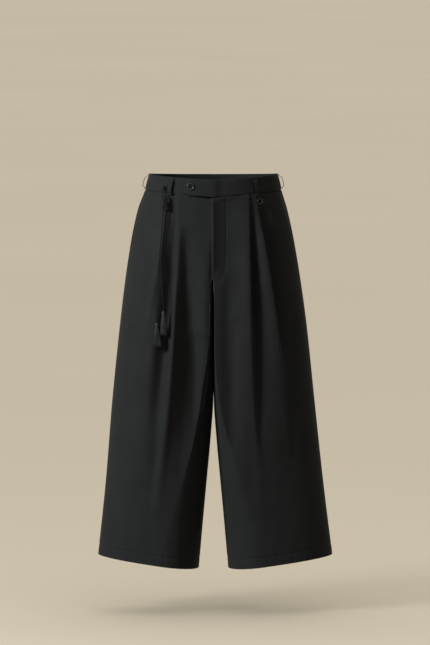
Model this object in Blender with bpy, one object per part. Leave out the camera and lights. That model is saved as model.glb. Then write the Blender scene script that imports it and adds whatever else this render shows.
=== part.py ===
"""Pleated wide-leg trousers, hollow as worn: tab waistband, slant pockets and a tasselled cord.

The wearer faces -Y, +X is the wearer's left, +Z is up, and the origin is the middle of the
waistband ring. Each piece of cloth is a wall between two sheets of points. All the sheets come
from one outline of the hollow body, so seams, folds and trimmings fit each other.
"""
import math
from collections import namedtuple

import bmesh
import bpy
import numpy as np
from mathutils import Matrix, Vector

# Cloth and seams, in metres
WALL = 0.0012
SEAM = 0.0003
HALF_SEAM = SEAM / 2
UNDER = WALL + 0.0010

# Heights at the centre front
WAIST_SEAM = -0.0193
RIM = 0.0197
FLY_END = -0.215
CROTCH = -0.326
HEM = -0.904
RISE_CURVE = 0.132
BACK_RISE_CURVE = 0.165
INNER_ROUND_CROTCH = 0.16
INNER_ROUND_HEM = 0.50

# The waistband rises toward the sides, and the hem rises toward the outseam
RIM_LIFT = 0.0085
SEAM_LIFT = 0.0120
LIFT_FADE_END = -0.150
HEM_LIFT = 0.032
HEM_LIFT_START = -0.450

# Fly: the left front laps past the centre over the right front
FLY_LAP = 0.0047
FLY_UNDERLAP = 0.0060
FLY_STEP = 0.0014
FLY_STEP_FLAT = 0.012
FLY_STEP_END = 0.045

# Slant pocket mouth, as a share of the way from the centre to the outseam
POCKET_TOP_SHARE = 0.81
POCKET_END = -0.185
POCKET_UNDERLAP = 0.05

# Waistband
BAND_WALL = 0.0026
BAND_PROUD = 0.0008
TAB_REACH = 0.0696
TAB_RADIUS = 0.0192
TAB_START = 0.014
TAB_STEP_START = 0.020
TAB_STEP_END = 0.001

# Belt loops
LOOP_WIDTH = 0.010
LOOP_WALL = 0.0016
LOOP_SEAT = 0.0006
FRONT_LOOP_SHARE = 0.64
FRONT_LOOP_GAP = 0.0038
FRONT_LOOP_FOOT = 0.0016
SIDE_LOOP_GAP = 0.0072

# Buttons and eyelet
WAIST_BUTTON = (-0.0530, 0.0046, 0.0165)
SMALL_BUTTON = (0.1074, -0.0305, 0.0153)
BUTTON_THICKNESS = 0.0032
BUTTON_CLEARANCE = 0.0008
BUTTON_HOLE = 0.0017
BUTTON_HOLE_SPREAD = 0.0019
BUTTON_SEGMENTS = 20
EYELET_X = -0.1145
EYELET_Z = 0.0014
EYELET_RADIUS = 0.0046
EYELET_WIRE = 0.0010
EYELET_CLEARANCE = 0.0005

# Cord, knots and tassels
CORD_RADIUS = 0.0013
CORD_CLEARANCE = 0.0012
CORD_END_GAP = 0.0008
CORD_STEP = 0.0065
CORD_TOP_STEP = 0.0030
KNOT_TOP = -0.0310
KNOT_HEIGHT = 0.0210
KNOT_X = -0.1105
TASSEL_HEAD_HEIGHT = 0.0110
TASSEL_SEGMENTS = 12

# Finishes
CLOTH_COLOUR = (0.022, 0.024, 0.025)
CLOTH_ROUGHNESS = 0.85
CORD_COLOUR = (0.016, 0.017, 0.017)
CORD_ROUGHNESS = 0.85

# How fast folds die away beside the centre and the side seams, and the fly below its end
FOLD_EDGE_CENTRE = 0.012
FOLD_EDGE_SIDE = 0.016
FLY_END_EASE = 0.010

# Steps along the outline and along the band that a direction square to them is measured over
SHARE_STEP = 0.0008
BESIDE = 0.004

# Grid of each panel
CENTRE_COLUMNS = 9
PLEAT_COLUMNS = 5
SIDE_COLUMNS = 8
BACK_COLUMNS = 15
BAND_STATIONS = 13
TAB_STATIONS = 9
UPPER_ROWS = 7
CURVE_ROWS = 7
LEG_ROWS = 9

Section = namedtuple("Section", "height outer_right outer_left front back squareness")
SECTIONS = (
    Section(-0.904, 0.2765, 0.2850, 0.1105, 0.1150, 2.40),
    Section(-0.697, 0.2546, 0.2591, 0.1135, 0.1180, 2.40),
    Section(-0.507, 0.2391, 0.2386, 0.1180, 0.1230, 2.38),
    Section(-0.326, 0.2205, 0.2195, 0.1240, 0.1310, 2.32),
    Section(-0.223, 0.2082, 0.2053, 0.1262, 0.1335, 2.28),
    Section(-0.128, 0.1938, 0.1895, 0.1225, 0.1270, 2.24),
    Section(-0.057, 0.1784, 0.1740, 0.1150, 0.1170, 2.20),
    Section(-0.010, 0.1610, 0.1600, 0.1095, 0.1105, 2.16),
    Section(0.030, 0.1500, 0.1500, 0.1060, 0.1065, 2.15),
)

# Distance of the inner leg from the centre plane
InnerLeg = namedtuple("InnerLeg", "height inner")
INNER_LEG = (
    InnerLeg(-0.904, 0.0345),
    InnerLeg(-0.792, 0.0247),
    InnerLeg(-0.697, 0.0159),
    InnerLeg(-0.602, 0.0072),
    InnerLeg(-0.507, 0.0012),
    InnerLeg(-0.479, 0.0003),
    InnerLeg(-0.326, 0.00015),
)

# Soft folds: x is the distance from the centre, rise is outward, spreads are to either side of it
Fold = namedtuple("Fold", "leg face top low x_top x_mid x_low rise to_centre to_side")
FOLDS = (
    Fold("left", "front", -0.045, -0.760, 0.060, 0.066, 0.074, 0.0040, 0.026, 0.016),
    Fold("left", "front", -0.045, -0.680, 0.096, 0.124, 0.142, 0.0050, 0.012, 0.016),
    Fold("left", "front", -0.330, -0.860, 0.146, 0.162, 0.176, -0.0050, 0.018, 0.022),
    Fold("right", "front", -0.040, -0.830, 0.080, 0.1035, 0.165, 0.0100, 0.011, 0.010),
    Fold("right", "front", -0.080, -0.840, 0.062, 0.066, 0.080, -0.0125, 0.034, 0.017),
    Fold("right", "front", -0.140, -0.760, 0.022, 0.024, 0.044, 0.0050, 0.012, 0.020),
    Fold("right", "front", -0.040, -0.620, 0.094, 0.117, 0.152, -0.0100, 0.009, 0.013),
    Fold("right", "front", -0.040, -0.700, 0.118, 0.144, 0.164, 0.0080, 0.013, 0.018),
    Fold("right", "front", -0.100, -0.820, 0.160, 0.180, 0.190, 0.0040, 0.026, 0.026),
    Fold("left", "back", -0.120, -0.860, 0.092, 0.105, 0.122, 0.0060, 0.024, 0.026),
    Fold("left", "back", -0.260, -0.840, 0.150, 0.160, 0.172, -0.0055, 0.020, 0.024),
    Fold("right", "back", -0.100, -0.840, 0.096, 0.110, 0.126, 0.0065, 0.026, 0.022),
    Fold("right", "back", -0.280, -0.870, 0.156, 0.166, 0.180, -0.0050, 0.022, 0.022),
)

# Open pleats: the edge stands out, and the cloth beside it drops away toward the side
OpenPleat = namedtuple("OpenPleat", "leg low x_top x_mid x_low stand drop to_centre to_side")
OPEN_PLEATS = (
    OpenPleat("left", -0.700, 0.083, 0.097, 0.122, 0.0060, -0.0100, 0.030, 0.016),
    OpenPleat("left", -0.500, 0.103, 0.149, 0.182, 0.0045, -0.0090, 0.018, 0.026),
)
EDGE_SHARP = 0.0020
EDGE_SOFT = 0.0140

# Where a pleat's edge runs: the panel's columns follow these two lines down each front
PleatLine = namedtuple("PleatLine", "leg x_seam x_knee x_hem")
PLEAT_LINES = {
    "left": (PleatLine("left", 0.083, 0.104, 0.118), PleatLine("left", 0.106, 0.160, 0.190)),
    "right": (PleatLine("right", 0.086, 0.094, 0.120), PleatLine("right", 0.116, 0.144, 0.176)),
}
PLEAT_STEP = 0.0016
PLEAT_STEP_LENGTH = 0.070
PLEAT_STEP_SHARP = 0.0022
PLEAT_STEP_SOFT = 0.018

SIGN = {"left": 1.0, "right": -1.0, "front": -1.0, "back": 1.0}


# Outline of the hollow body

def smooth_step(value):
    """Ease from 0 to 1."""
    clipped = np.clip(value, 0.0, 1.0)
    return clipped * clipped * (3.0 - 2.0 * clipped)


def along(rows, column, height):
    """Read one column of a table at any height, as a smooth curve that never overshoots."""
    heights = np.array([row.height for row in rows])
    values = np.array([getattr(row, column) for row in rows])
    gaps = np.diff(heights)
    slopes = np.diff(values) / gaps
    before, after = slopes[:-1], slopes[1:]
    same_way = before * after > 0
    total = np.where(same_way, before + after, 1.0)
    inner_slopes = np.where(same_way, 2.0 * before * after / total, 0.0)
    tangents = np.concatenate((slopes[:1], inner_slopes, slopes[-1:]))
    height = np.clip(np.asarray(height, dtype=float), heights[0], heights[-1])
    index = np.clip(np.searchsorted(heights, height) - 1, 0, len(gaps) - 1)
    step = gaps[index]
    share = (height - heights[index]) / step
    start_weight = (1.0 + 2.0 * share) * (1.0 - share) ** 2
    end_weight = share ** 2 * (3.0 - 2.0 * share)
    start_pull = share * (1.0 - share) ** 2 * step
    end_pull = share ** 2 * (share - 1.0) * step
    return (start_weight * values[index] + end_weight * values[index + 1]
            + start_pull * tangents[index] + end_pull * tangents[index + 1])


def leg_rounding(face, height):
    """How much of the inner leg's rounding is left: all of it up to the crotch, then less."""
    length = RISE_CURVE if face == "front" else BACK_RISE_CURVE
    above = np.clip((height - CROTCH) / length, 0.0, 1.0)
    return 1.0 - above ** 2


def outer_width(leg, height):
    return along(SECTIONS, "outer_" + leg, height)


def inner_edge(leg, face, height):
    """The panel's inner edge: inner leg below the crotch, centre seam above, lap at the fly."""
    inner = along(INNER_LEG, "inner", height)
    if face == "back":
        return inner
    lap = FLY_LAP if leg == "left" else FLY_UNDERLAP
    at_fly = smooth_step((height - FLY_END) / FLY_END_EASE)
    return inner - at_fly * (lap + inner)


def lifted(face, across, roundness, row_height):
    """Raise the waist seam toward the sides and the hem toward the outseam."""
    top_fade = smooth_step((row_height - LIFT_FADE_END) / (WAIST_SEAM - LIFT_FADE_END))
    seam_share = smooth_step((row_height - WAIST_SEAM) / (RIM - WAIST_SEAM))
    lift = SEAM_LIFT + (RIM_LIFT - SEAM_LIFT) * seam_share
    toward_side = across ** 1.1 if face == "front" else 1.0 - roundness
    hem_fade = smooth_step((HEM_LIFT_START - row_height) / (HEM_LIFT_START - HEM))
    return row_height + lift * toward_side * top_fade + HEM_LIFT * across * hem_fade


def bare_outline(leg, face, share, row_height):
    """Point of the outline without folds; share runs from 0 at the centre to 1 at the side."""
    across = (1.0 - np.cos(math.pi * share)) / 2.0
    power = along(SECTIONS, "squareness", row_height)
    roundness = np.clip(1.0 - across ** power, 0.0, 1.0) ** (1.0 / power)
    height = lifted(face, across, roundness, row_height)
    inner = inner_edge(leg, face, height)
    outer = outer_width(leg, height)
    x = inner + (outer - inner) * across
    down_leg = smooth_step((CROTCH - row_height) / (CROTCH - HEM))
    round_share = INNER_ROUND_CROTCH + (INNER_ROUND_HEM - INNER_ROUND_CROTCH) * down_leg
    near_inner = np.clip(1.0 - across / round_share, 0.0, 1.0) * leg_rounding(face, row_height)
    depth = along(SECTIONS, face, height)
    y = depth * roundness * np.sqrt(1.0 - near_inner ** 2) + HALF_SEAM
    return SIGN[leg] * x, SIGN[face] * y, height


def fold_rise(leg, face, x, height):
    """Outward rise of the soft folds at a distance x from the centre."""
    rise = np.zeros(np.broadcast(x, height).shape)
    for fold in FOLDS:
        if fold.leg != leg or fold.face != face:
            continue
        down = np.clip((fold.top - height) / (fold.top - fold.low), 0.0, 1.0)
        bend = 4.0 * (fold.x_mid - (fold.x_top + fold.x_low) / 2.0)
        centre = fold.x_top + (fold.x_low - fold.x_top) * down + bend * down * (1.0 - down)
        spread = np.where(x < centre, fold.to_centre, fold.to_side) * (0.75 + 0.6 * down)
        strength = np.sin(math.pi * down ** 0.7)
        rise = rise + fold.rise * strength * np.exp(-((x - centre) / spread) ** 2)
    return rise


def pleat_x(line, height):
    """Distance of a pleat's edge from the centre."""
    down = np.clip((WAIST_SEAM - height) / (WAIST_SEAM - HEM), 0.0, 1.0)
    bend = 4.0 * (line.x_knee - (line.x_seam + line.x_hem) / 2.0)
    return line.x_seam + (line.x_hem - line.x_seam) * down + bend * down * (1.0 - down)


def pleat_rise(leg, x, height):
    """Small step where each pleat is sewn shut: its edge faces the side."""
    rise = np.zeros(np.broadcast(x, height).shape)
    fade = 1.0 - smooth_step((WAIST_SEAM - height) / PLEAT_STEP_LENGTH)
    for line in PLEAT_LINES[leg]:
        away = x - pleat_x(line, height)
        soft = np.exp(-(away / PLEAT_STEP_SOFT) ** 2)
        sharp = np.exp(-(away / PLEAT_STEP_SHARP) ** 2)
        rise = rise + PLEAT_STEP * fade * np.where(away < 0.0, soft, sharp)
    return rise


def open_pleat_rise(leg, x, height):
    """The lifted edge of each open pleat, and the hollow beside it."""
    rise = np.zeros(np.broadcast(x, height).shape)
    for pleat in OPEN_PLEATS:
        if pleat.leg != leg:
            continue
        down = np.clip((WAIST_SEAM - height) / (WAIST_SEAM - pleat.low), 0.0, 1.0)
        bend = 4.0 * (pleat.x_mid - (pleat.x_top + pleat.x_low) / 2.0)
        edge = pleat.x_top + (pleat.x_low - pleat.x_top) * down + bend * down * (1.0 - down)
        turn = EDGE_SHARP + (EDGE_SOFT - EDGE_SHARP) * down
        past_edge = smooth_step(0.5 + (x - edge) / turn)
        stand = pleat.stand * np.exp(-((x - edge) / pleat.to_centre) ** 2)
        drop = pleat.drop * np.exp(-((x - edge) / pleat.to_side) ** 2)
        strength = np.sin(math.pi * down ** 0.7)
        rise = rise + strength * (stand * (1.0 - past_edge) + drop * past_edge)
    return rise


def fly_rise(leg, x, height):
    """The lapping left front stands out at the fly, and the right front lies in behind it."""
    across = 1.0 - smooth_step((x - FLY_STEP_FLAT) / (FLY_STEP_END - FLY_STEP_FLAT))
    down = smooth_step((height - (FLY_END - 0.040)) / 0.035)
    return SIGN[leg] * FLY_STEP * across * down


def outward_direction(leg, face, share, row_height):
    """Level direction square to the bare outline, as its x and y."""
    low = np.clip(share - SHARE_STEP, 0.0, 1.0)
    high = np.clip(share + SHARE_STEP, 0.0, 1.0)
    x_low, y_low, _ = bare_outline(leg, face, low, row_height)
    x_high, y_high, _ = bare_outline(leg, face, high, row_height)
    length = np.hypot(x_high - x_low, y_high - y_low)
    turn = -SIGN[leg] * SIGN[face]
    return turn * (y_high - y_low) / length, -turn * (x_high - x_low) / length


def outline(leg, face, share, row_height, moved_out=0.0):
    """Point on the outside of the cloth, or moved_out beyond it, and its sideways direction."""
    share, row_height = np.broadcast_arrays(np.asarray(share, float), np.asarray(row_height, float))
    out_x, out_y = outward_direction(leg, face, share, row_height)
    x, y, height = bare_outline(leg, face, share, row_height)
    distance = x * SIGN[leg]
    inner = inner_edge(leg, face, height)
    outer = outer_width(leg, height)
    edge_fade = (smooth_step((distance - inner) / FOLD_EDGE_CENTRE)
                 * smooth_step((outer - distance) / FOLD_EDGE_SIDE))
    rise = fold_rise(leg, face, distance, height) * edge_fade
    if face == "front":
        rise = rise + pleat_rise(leg, distance, height) * edge_fade
        rise = rise + open_pleat_rise(leg, distance, height) * edge_fade
        rise = rise + fly_rise(leg, distance, height)
    out = rise + moved_out
    return np.stack((x + out * out_x, y + out * out_y, height), axis=-1), (out_x, out_y)


def share_at(leg, face, x, row_height):
    """Share of the way round at which the outline is x from the centre."""
    inner = inner_edge(leg, face, row_height)
    across = (x - inner) / (outer_width(leg, row_height) - inner)
    return np.arccos(1.0 - 2.0 * np.clip(across, 0.0, 1.0)) / math.pi


def place_on(leg, face, x, height, moved_out):
    """Point moved out from the cloth at a given x and height, with the outward direction."""
    row_height = height
    for _ in range(6):
        share = share_at(leg, face, abs(x), row_height)
        point, (out_x, out_y) = outline(leg, face, share, row_height, moved_out)
        row_height = row_height + float(height - point[2])
    return Vector([float(value) for value in point]), Vector((float(out_x), float(out_y), 0.0))


# Walls between two sheets of points

def row_heights():
    """Row heights of a panel: waist seam, then close rows on the crotch curve, then the leg."""
    curve_top = CROTCH + RISE_CURVE
    upper = np.linspace(WAIST_SEAM - SEAM, curve_top, UPPER_ROWS, endpoint=False)
    curve = np.linspace(curve_top, CROTCH, CURVE_ROWS + 1)
    leg = np.linspace(CROTCH, HEM, LEG_ROWS + 1)[1:]
    return np.concatenate((upper, curve, leg))


def eased(start, end, count):
    """Shares from start to end, closer together near both; the last one is left out."""
    steps = (1.0 - np.cos(math.pi * np.arange(count) / count)) / 2.0
    mixed = 0.6 * steps + 0.4 * np.arange(count) / count
    return start + (end - start) * mixed


def front_columns(leg, height):
    """Column shares of a front panel at one height, following the pleats and the pocket mouth."""
    lines = PLEAT_LINES[leg]
    first = float(share_at(leg, "front", pleat_x(lines[0], height), height))
    second = float(share_at(leg, "front", pleat_x(lines[1], height), height))
    end = float(pocket_share(height))
    return np.concatenate((eased(0.0, first, CENTRE_COLUMNS), eased(first, second, PLEAT_COLUMNS),
                           eased(second, end, SIDE_COLUMNS), [end]))


def pocket_share(height):
    """Where the front panel ends: at the slanting pocket mouth, and below it at the outseam."""
    down = np.clip((WAIST_SEAM - height) / (WAIST_SEAM - POCKET_END), 0.0, 1.0)
    return POCKET_TOP_SHARE + (1.0 - POCKET_TOP_SHARE) * down


def sheet_normals(points, outward):
    """Directions square to a sheet of points, turned to the same side as outward."""
    down = np.gradient(points, axis=0)
    across = np.gradient(points, axis=1)
    normals = np.cross(down, across)
    normals = normals / np.linalg.norm(normals, axis=-1, keepdims=True)
    facing = np.sum(normals * outward, axis=-1, keepdims=True)
    if facing.mean() < 0.0:
        normals = -normals
    return normals


def add_object(name, mesh_builder, colour, roughness, metallic=0.0):
    """Turn a bmesh into a named object with its own material."""
    bmesh.ops.recalc_face_normals(mesh_builder, faces=mesh_builder.faces[:])
    mesh = bpy.data.meshes.new(name)
    mesh_builder.to_mesh(mesh)
    mesh_builder.free()
    piece = bpy.data.objects.new(name, mesh)
    bpy.context.collection.objects.link(piece)
    piece.data.materials.append(plain_material(name, colour, roughness, metallic))
    return piece


def plain_material(name, colour, roughness, metallic):
    material = bpy.data.materials.new(name + "_finish")
    material.use_nodes = True
    shader = material.node_tree.nodes["Principled BSDF"]
    shader.inputs["Base Color"].default_value = (*colour, 1.0)
    shader.inputs["Roughness"].default_value = roughness
    shader.inputs["Metallic"].default_value = metallic
    return material


def wall_between(name, outside, inside, colour, roughness):
    """Closed wall between two grids of points with the same rows and columns."""
    rows, columns = outside.shape[:2]
    builder = bmesh.new()
    grids = []
    for sheet in (outside, inside):
        grids.append([[builder.verts.new(point) for point in row] for row in sheet])
    for grid in grids:
        for row in range(rows - 1):
            for column in range(columns - 1):
                builder.faces.new((grid[row][column], grid[row][column + 1],
                                   grid[row + 1][column + 1], grid[row + 1][column]))
    border = [(0, column) for column in range(columns)]
    border += [(row, columns - 1) for row in range(1, rows)]
    border += [(rows - 1, column) for column in range(columns - 2, -1, -1)]
    border += [(row, 0) for row in range(rows - 2, 0, -1)]
    for (row, column), (next_row, next_column) in zip(border, border[1:] + border[:1]):
        builder.faces.new((grids[0][row][column], grids[0][next_row][next_column],
                           grids[1][next_row][next_column], grids[1][row][column]))
    return add_object(name, builder, colour, roughness)


def keep_to_side(leg, face, points):
    """Keep a panel's inner sheet on its own side of the centre seam and of the side seams."""
    limit = inner_edge(leg, face, points[..., 2])
    own_x = points[..., 0] * SIGN[leg]
    points[..., 0] = SIGN[leg] * np.maximum(own_x, limit)
    own_y = points[..., 1] * SIGN[face]
    points[..., 1] = SIGN[face] * np.maximum(own_y, HALF_SEAM)


def build_panel(name, leg, face, heights, shares, moved_out=0.0):
    """One panel of cloth, from its rows of heights and the column shares on each row."""
    outside, (out_x, out_y) = outline(leg, face, shares, heights[:, None], moved_out)
    outward = np.stack((out_x, out_y, np.zeros_like(out_x)), axis=-1)
    keep_to_side(leg, face, outside)
    inside = outside - WALL * sheet_normals(outside, outward)
    keep_to_side(leg, face, inside)
    return wall_between(name, outside, inside, CLOTH_COLOUR, CLOTH_ROUGHNESS)


def build_panels():
    heights = row_heights()
    for leg in ("left", "right"):
        front = np.array([front_columns(leg, height) for height in heights])
        build_panel("front_" + leg, leg, "front", heights, front)
        back = np.tile(np.linspace(0.0, 1.0, BACK_COLUMNS + 1), (len(heights), 1))
        build_panel("back_" + leg, leg, "back", heights, back)


def build_pocket_sides():
    """Side pieces of the slant pockets, one cloth thickness behind the fronts."""
    heights = np.array([height for height in row_heights() if height > POCKET_END - 0.010])
    for leg in ("left", "right"):
        shares = np.array([np.linspace(pocket_share(height) - POCKET_UNDERLAP, 1.0, 7)
                           for height in heights])
        build_panel("pocket_side_" + leg, leg, "front", heights, shares, -UNDER)


# Waistband

def band_line(leg, face, share, height, moved_out):
    """Point of the band: the outline without folds, moved out."""
    share = np.asarray(share, float)
    out_x, out_y = outward_direction(leg, face, share, height)
    x, y, z = bare_outline(leg, face, share, height)
    return Vector((float(x + moved_out * out_x), float(y + moved_out * out_y), float(z)))


def band_station(x, face, moved_out):
    """Foot and rim of the band at a distance x from the centre, negative on the wearer's right."""
    leg = "left" if x >= 0.0 else "right"
    points = []
    for height in (WAIST_SEAM, RIM):
        across = min(abs(x) / float(outer_width(leg, height)), 1.0)
        share = math.acos(1.0 - 2.0 * across) / math.pi
        point = band_line(leg, face, share, height, moved_out)
        if face == "front":
            point = Vector((x, point.y, point.z))
        points.append(point)
    return points


def band_face(x, height, moved_out):
    """Point on the outside of the band's front, and the direction square to it."""
    foot, rim = band_station(x, "front", moved_out)
    beside, _ = band_station(x - BESIDE, "front", moved_out)
    outward = (beside - foot).cross((rim - foot).normalized()).normalized()
    if outward.y > 0.0:
        outward = -outward
    return foot.lerp(rim, (height - foot.z) / (rim.z - foot.z)), outward


def band_ring(leg, face, share, moved_out):
    return [band_line(leg, face, share, height, moved_out) for height in (WAIST_SEAM, RIM)]


def own_side(leg, point):
    """Keep a band point off the centre plane by half a seam."""
    sign = SIGN[leg]
    return Vector((sign * max(point.x * sign, HALF_SEAM), point.y, point.z))


def band_stations(leg, moved_out):
    """Stations round one half of the band from the centre back to the front."""
    stations = []
    for share in np.linspace(0.0, 1.0, BAND_STATIONS):
        stations.append([own_side(leg, point) for point in band_ring(leg, "back", share, moved_out)])
    last_front = 0.25 if leg == "left" else 0.0
    for share in np.linspace(1.0, last_front, BAND_STATIONS)[1:]:
        stations.append([own_side(leg, point) for point in band_ring(leg, "front", share, moved_out)])
    return stations


def tab_stations(moved_out):
    """Stations of the left half's end, which steps out over the right half and rounds off."""
    stations = []
    clearance = BAND_WALL + 2.0 * SEAM
    straight = np.linspace(TAB_START, -TAB_REACH + TAB_RADIUS, TAB_STATIONS)
    turn = np.linspace(0.0, 0.46 * math.pi, 7)[1:]
    round_end = [-TAB_REACH + TAB_RADIUS * (1.0 - math.sin(angle)) for angle in turn]
    for x in list(straight) + round_end:
        step = float(smooth_step((TAB_STEP_START - x) / (TAB_STEP_START - TAB_STEP_END)))
        foot, rim = band_station(x, "front", moved_out + clearance * step)
        into_round = max(0.0, (-TAB_REACH + TAB_RADIUS - x) / TAB_RADIUS)
        keep = math.sqrt(max(0.0, 1.0 - into_round ** 2))
        middle = (foot + rim) / 2.0
        stations.append([middle + (foot - middle) * keep, middle + (rim - middle) * keep])
    return stations


def build_waistband():
    for leg in ("left", "right"):
        outside = band_stations(leg, BAND_PROUD)
        inside = band_stations(leg, BAND_PROUD - BAND_WALL)
        if leg == "left":
            outside += tab_stations(BAND_PROUD)
            inside += tab_stations(BAND_PROUD - BAND_WALL)
        wall_between("waistband_" + leg, np.array(outside), np.array(inside),
                     CLOTH_COLOUR, CLOTH_ROUGHNESS)


# Belt loops

def build_loop(name, seat_points, outward, gap, foot_out):
    """Strap of folded cloth sewn down at both ends and standing off the band between them.

    seat_points run down the band, outward is the horizontal direction away from it, and
    foot_out is how far the lower end stands out to lie on the pleated front.
    """
    sideways = Vector((-outward.y, outward.x, 0.0)) * (LOOP_WIDTH / 2.0)
    outside, inside = [], []
    count = len(seat_points)
    for index, seat in enumerate(seat_points):
        position = index / (count - 1)
        lift = smooth_step(np.sin(math.pi * position) * 1.5 - 0.22)
        reach = LOOP_SEAT + float(lift) * (gap - LOOP_SEAT) + foot_out * position ** 6
        near = seat + outward * reach
        far = near + outward * LOOP_WALL
        inside.append([near - sideways, near + sideways])
        outside.append([far - sideways, far + sideways])
    wall_between(name, np.array(outside), np.array(inside), CLOTH_COLOUR, CLOTH_ROUGHNESS)


def loop_seats(foot, rim, below):
    """Points down the band from just under the rim to a little below its foot."""
    start = rim + (foot - rim) * 0.04
    end = foot + (foot - rim) * below
    return [start.lerp(end, share) for share in np.linspace(0.0, 1.0, 12)]


def build_belt_loops():
    across_share = math.acos(1.0 - 2.0 * FRONT_LOOP_SHARE) / math.pi
    for leg in ("left", "right"):
        foot, rim = band_ring(leg, "front", across_share, BAND_PROUD)
        outward = (band_ring(leg, "front", across_share, 1.0)[1] - rim)
        outward.z = 0.0
        build_loop("belt_loop_front_" + leg, loop_seats(foot, rim, 0.10), outward.normalized(),
                   FRONT_LOOP_GAP, FRONT_LOOP_FOOT)
        foot, rim = band_ring(leg, "back", 1.0, BAND_PROUD)
        build_loop("belt_loop_side_" + leg, loop_seats(foot, rim, 0.02),
                   Vector((SIGN[leg], 0.0, 0.0)), SIDE_LOOP_GAP, 0.0)
    foot, rim = band_ring("left", "back", 0.0, BAND_PROUD)
    build_loop("belt_loop_back", loop_seats(foot, rim, 0.10), Vector((0.0, 1.0, 0.0)),
               FRONT_LOOP_GAP, 0.0)


# Turned pieces

def turned(profile, segments):
    """Solid of revolution about Z from (radius, height) pairs; a zero radius is one point."""
    builder = bmesh.new()
    rings = []
    for radius, height in profile:
        if radius == 0.0:
            rings.append([builder.verts.new((0.0, 0.0, height))])
            continue
        angles = [2.0 * math.pi * step / segments for step in range(segments)]
        rings.append([builder.verts.new((radius * math.cos(angle), radius * math.sin(angle), height))
                      for angle in angles])
    for lower, upper in zip(rings, rings[1:]):
        for step in range(segments):
            after = (step + 1) % segments
            if len(lower) == 1:
                builder.faces.new((lower[0], upper[after], upper[step]))
            elif len(upper) == 1:
                builder.faces.new((lower[step], lower[after], upper[0]))
            else:
                builder.faces.new((lower[step], lower[after], upper[after], upper[step]))
    return builder


def facing(point, outward):
    """Placement that turns a piece's +Z to the outward direction."""
    return Matrix.Translation(point) @ outward.to_track_quat("Z", "Y").to_matrix().to_4x4()


def clear_of_cloth(leg, x, height, radius, clearance):
    """Distance to move a disc out so that it clears the cloth all over its back."""
    centre, outward = place_on(leg, "front", x, height, 0.0)
    highest = 0.0
    for across in np.linspace(-1.0, 1.0, 13):
        for upward in (-0.7, 0.0, 0.7):
            beside = x + across * radius * abs(outward.y)
            point, _ = place_on(leg, "front", beside, height + upward * radius, 0.0)
            highest = max(highest, (point - centre).dot(outward))
    return centre + outward * (highest + clearance), outward


def build_button(name, point, outward, diameter):
    """Four-hole button with a raised rim."""
    radius = diameter / 2.0
    rim = radius * 0.72
    profile = ((0.0, 0.0), (radius * 0.80, 0.0), (radius, BUTTON_THICKNESS * 0.35),
               (radius, BUTTON_THICKNESS * 0.65), (radius * 0.88, BUTTON_THICKNESS),
               (rim, BUTTON_THICKNESS * 0.86), (rim * 0.86, BUTTON_THICKNESS * 0.55),
               (0.0, BUTTON_THICKNESS * 0.55))
    builder = turned(profile, BUTTON_SEGMENTS)
    button = add_object(name, builder, (0.012, 0.012, 0.013), 0.28)
    for number in range(4):
        angle = math.pi / 4.0 + math.pi / 2.0 * number
        cutter_mesh = turned(((0.0, -0.002), (BUTTON_HOLE / 2.0, -0.002),
                              (BUTTON_HOLE / 2.0, 0.006), (0.0, 0.006)), 8)
        offset = Matrix.Translation((BUTTON_HOLE_SPREAD * math.cos(angle),
                                     BUTTON_HOLE_SPREAD * math.sin(angle), 0.0))
        cutter_mesh.transform(offset)
        cutter = add_object(f"{name}_hole_{number + 1}", cutter_mesh, (0.5, 0.5, 0.5), 0.5)
        cutter.parent = button
        cutter.hide_render = True
        cutter.display_type = "WIRE"
        cut = button.modifiers.new(f"hole_{number + 1}", "BOOLEAN")
        cut.operation = "DIFFERENCE"
        cut.solver = "EXACT"
        cut.object = cutter
    button.matrix_world = facing(point, outward)
    return button


def build_buttons():
    x, height, diameter = WAIST_BUTTON
    point, outward = band_face(x, height, BAND_PROUD + BAND_WALL + 2.0 * SEAM)
    build_button("waist_button", point + outward * BUTTON_CLEARANCE, outward, diameter)
    x, height, diameter = SMALL_BUTTON
    point, outward = clear_of_cloth("left", x, height, diameter / 2.0, BUTTON_CLEARANCE)
    build_button("small_button", point, outward, diameter)


def build_eyelet():
    """Metal ring that the doubled cord comes out of."""
    point, outward = eyelet_place()
    builder = bmesh.new()
    rings = []
    around, tube = 20, 6
    for step in range(around):
        angle = 2.0 * math.pi * step / around
        ring = []
        for side in range(tube):
            turn = 2.0 * math.pi * side / tube
            radius = EYELET_RADIUS + EYELET_WIRE * math.cos(turn)
            ring.append(builder.verts.new((radius * math.cos(angle), radius * math.sin(angle),
                                           EYELET_WIRE * math.sin(turn))))
        rings.append(ring)
    for step in range(around):
        here, after = rings[step], rings[(step + 1) % around]
        for side in range(tube):
            beside = (side + 1) % tube
            builder.faces.new((here[side], after[side], after[beside], here[beside]))
    eyelet = add_object("eyelet", builder, (0.30, 0.30, 0.29), 0.35, 1.0)
    eyelet.matrix_world = facing(point, outward)


def eyelet_place():
    """Middle of the eyelet's ring, clear of the band."""
    point, outward = band_face(EYELET_X, EYELET_Z, BAND_PROUD)
    return point + outward * (EYELET_WIRE + EYELET_CLEARANCE), outward


# Cord, knots and tassels

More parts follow.
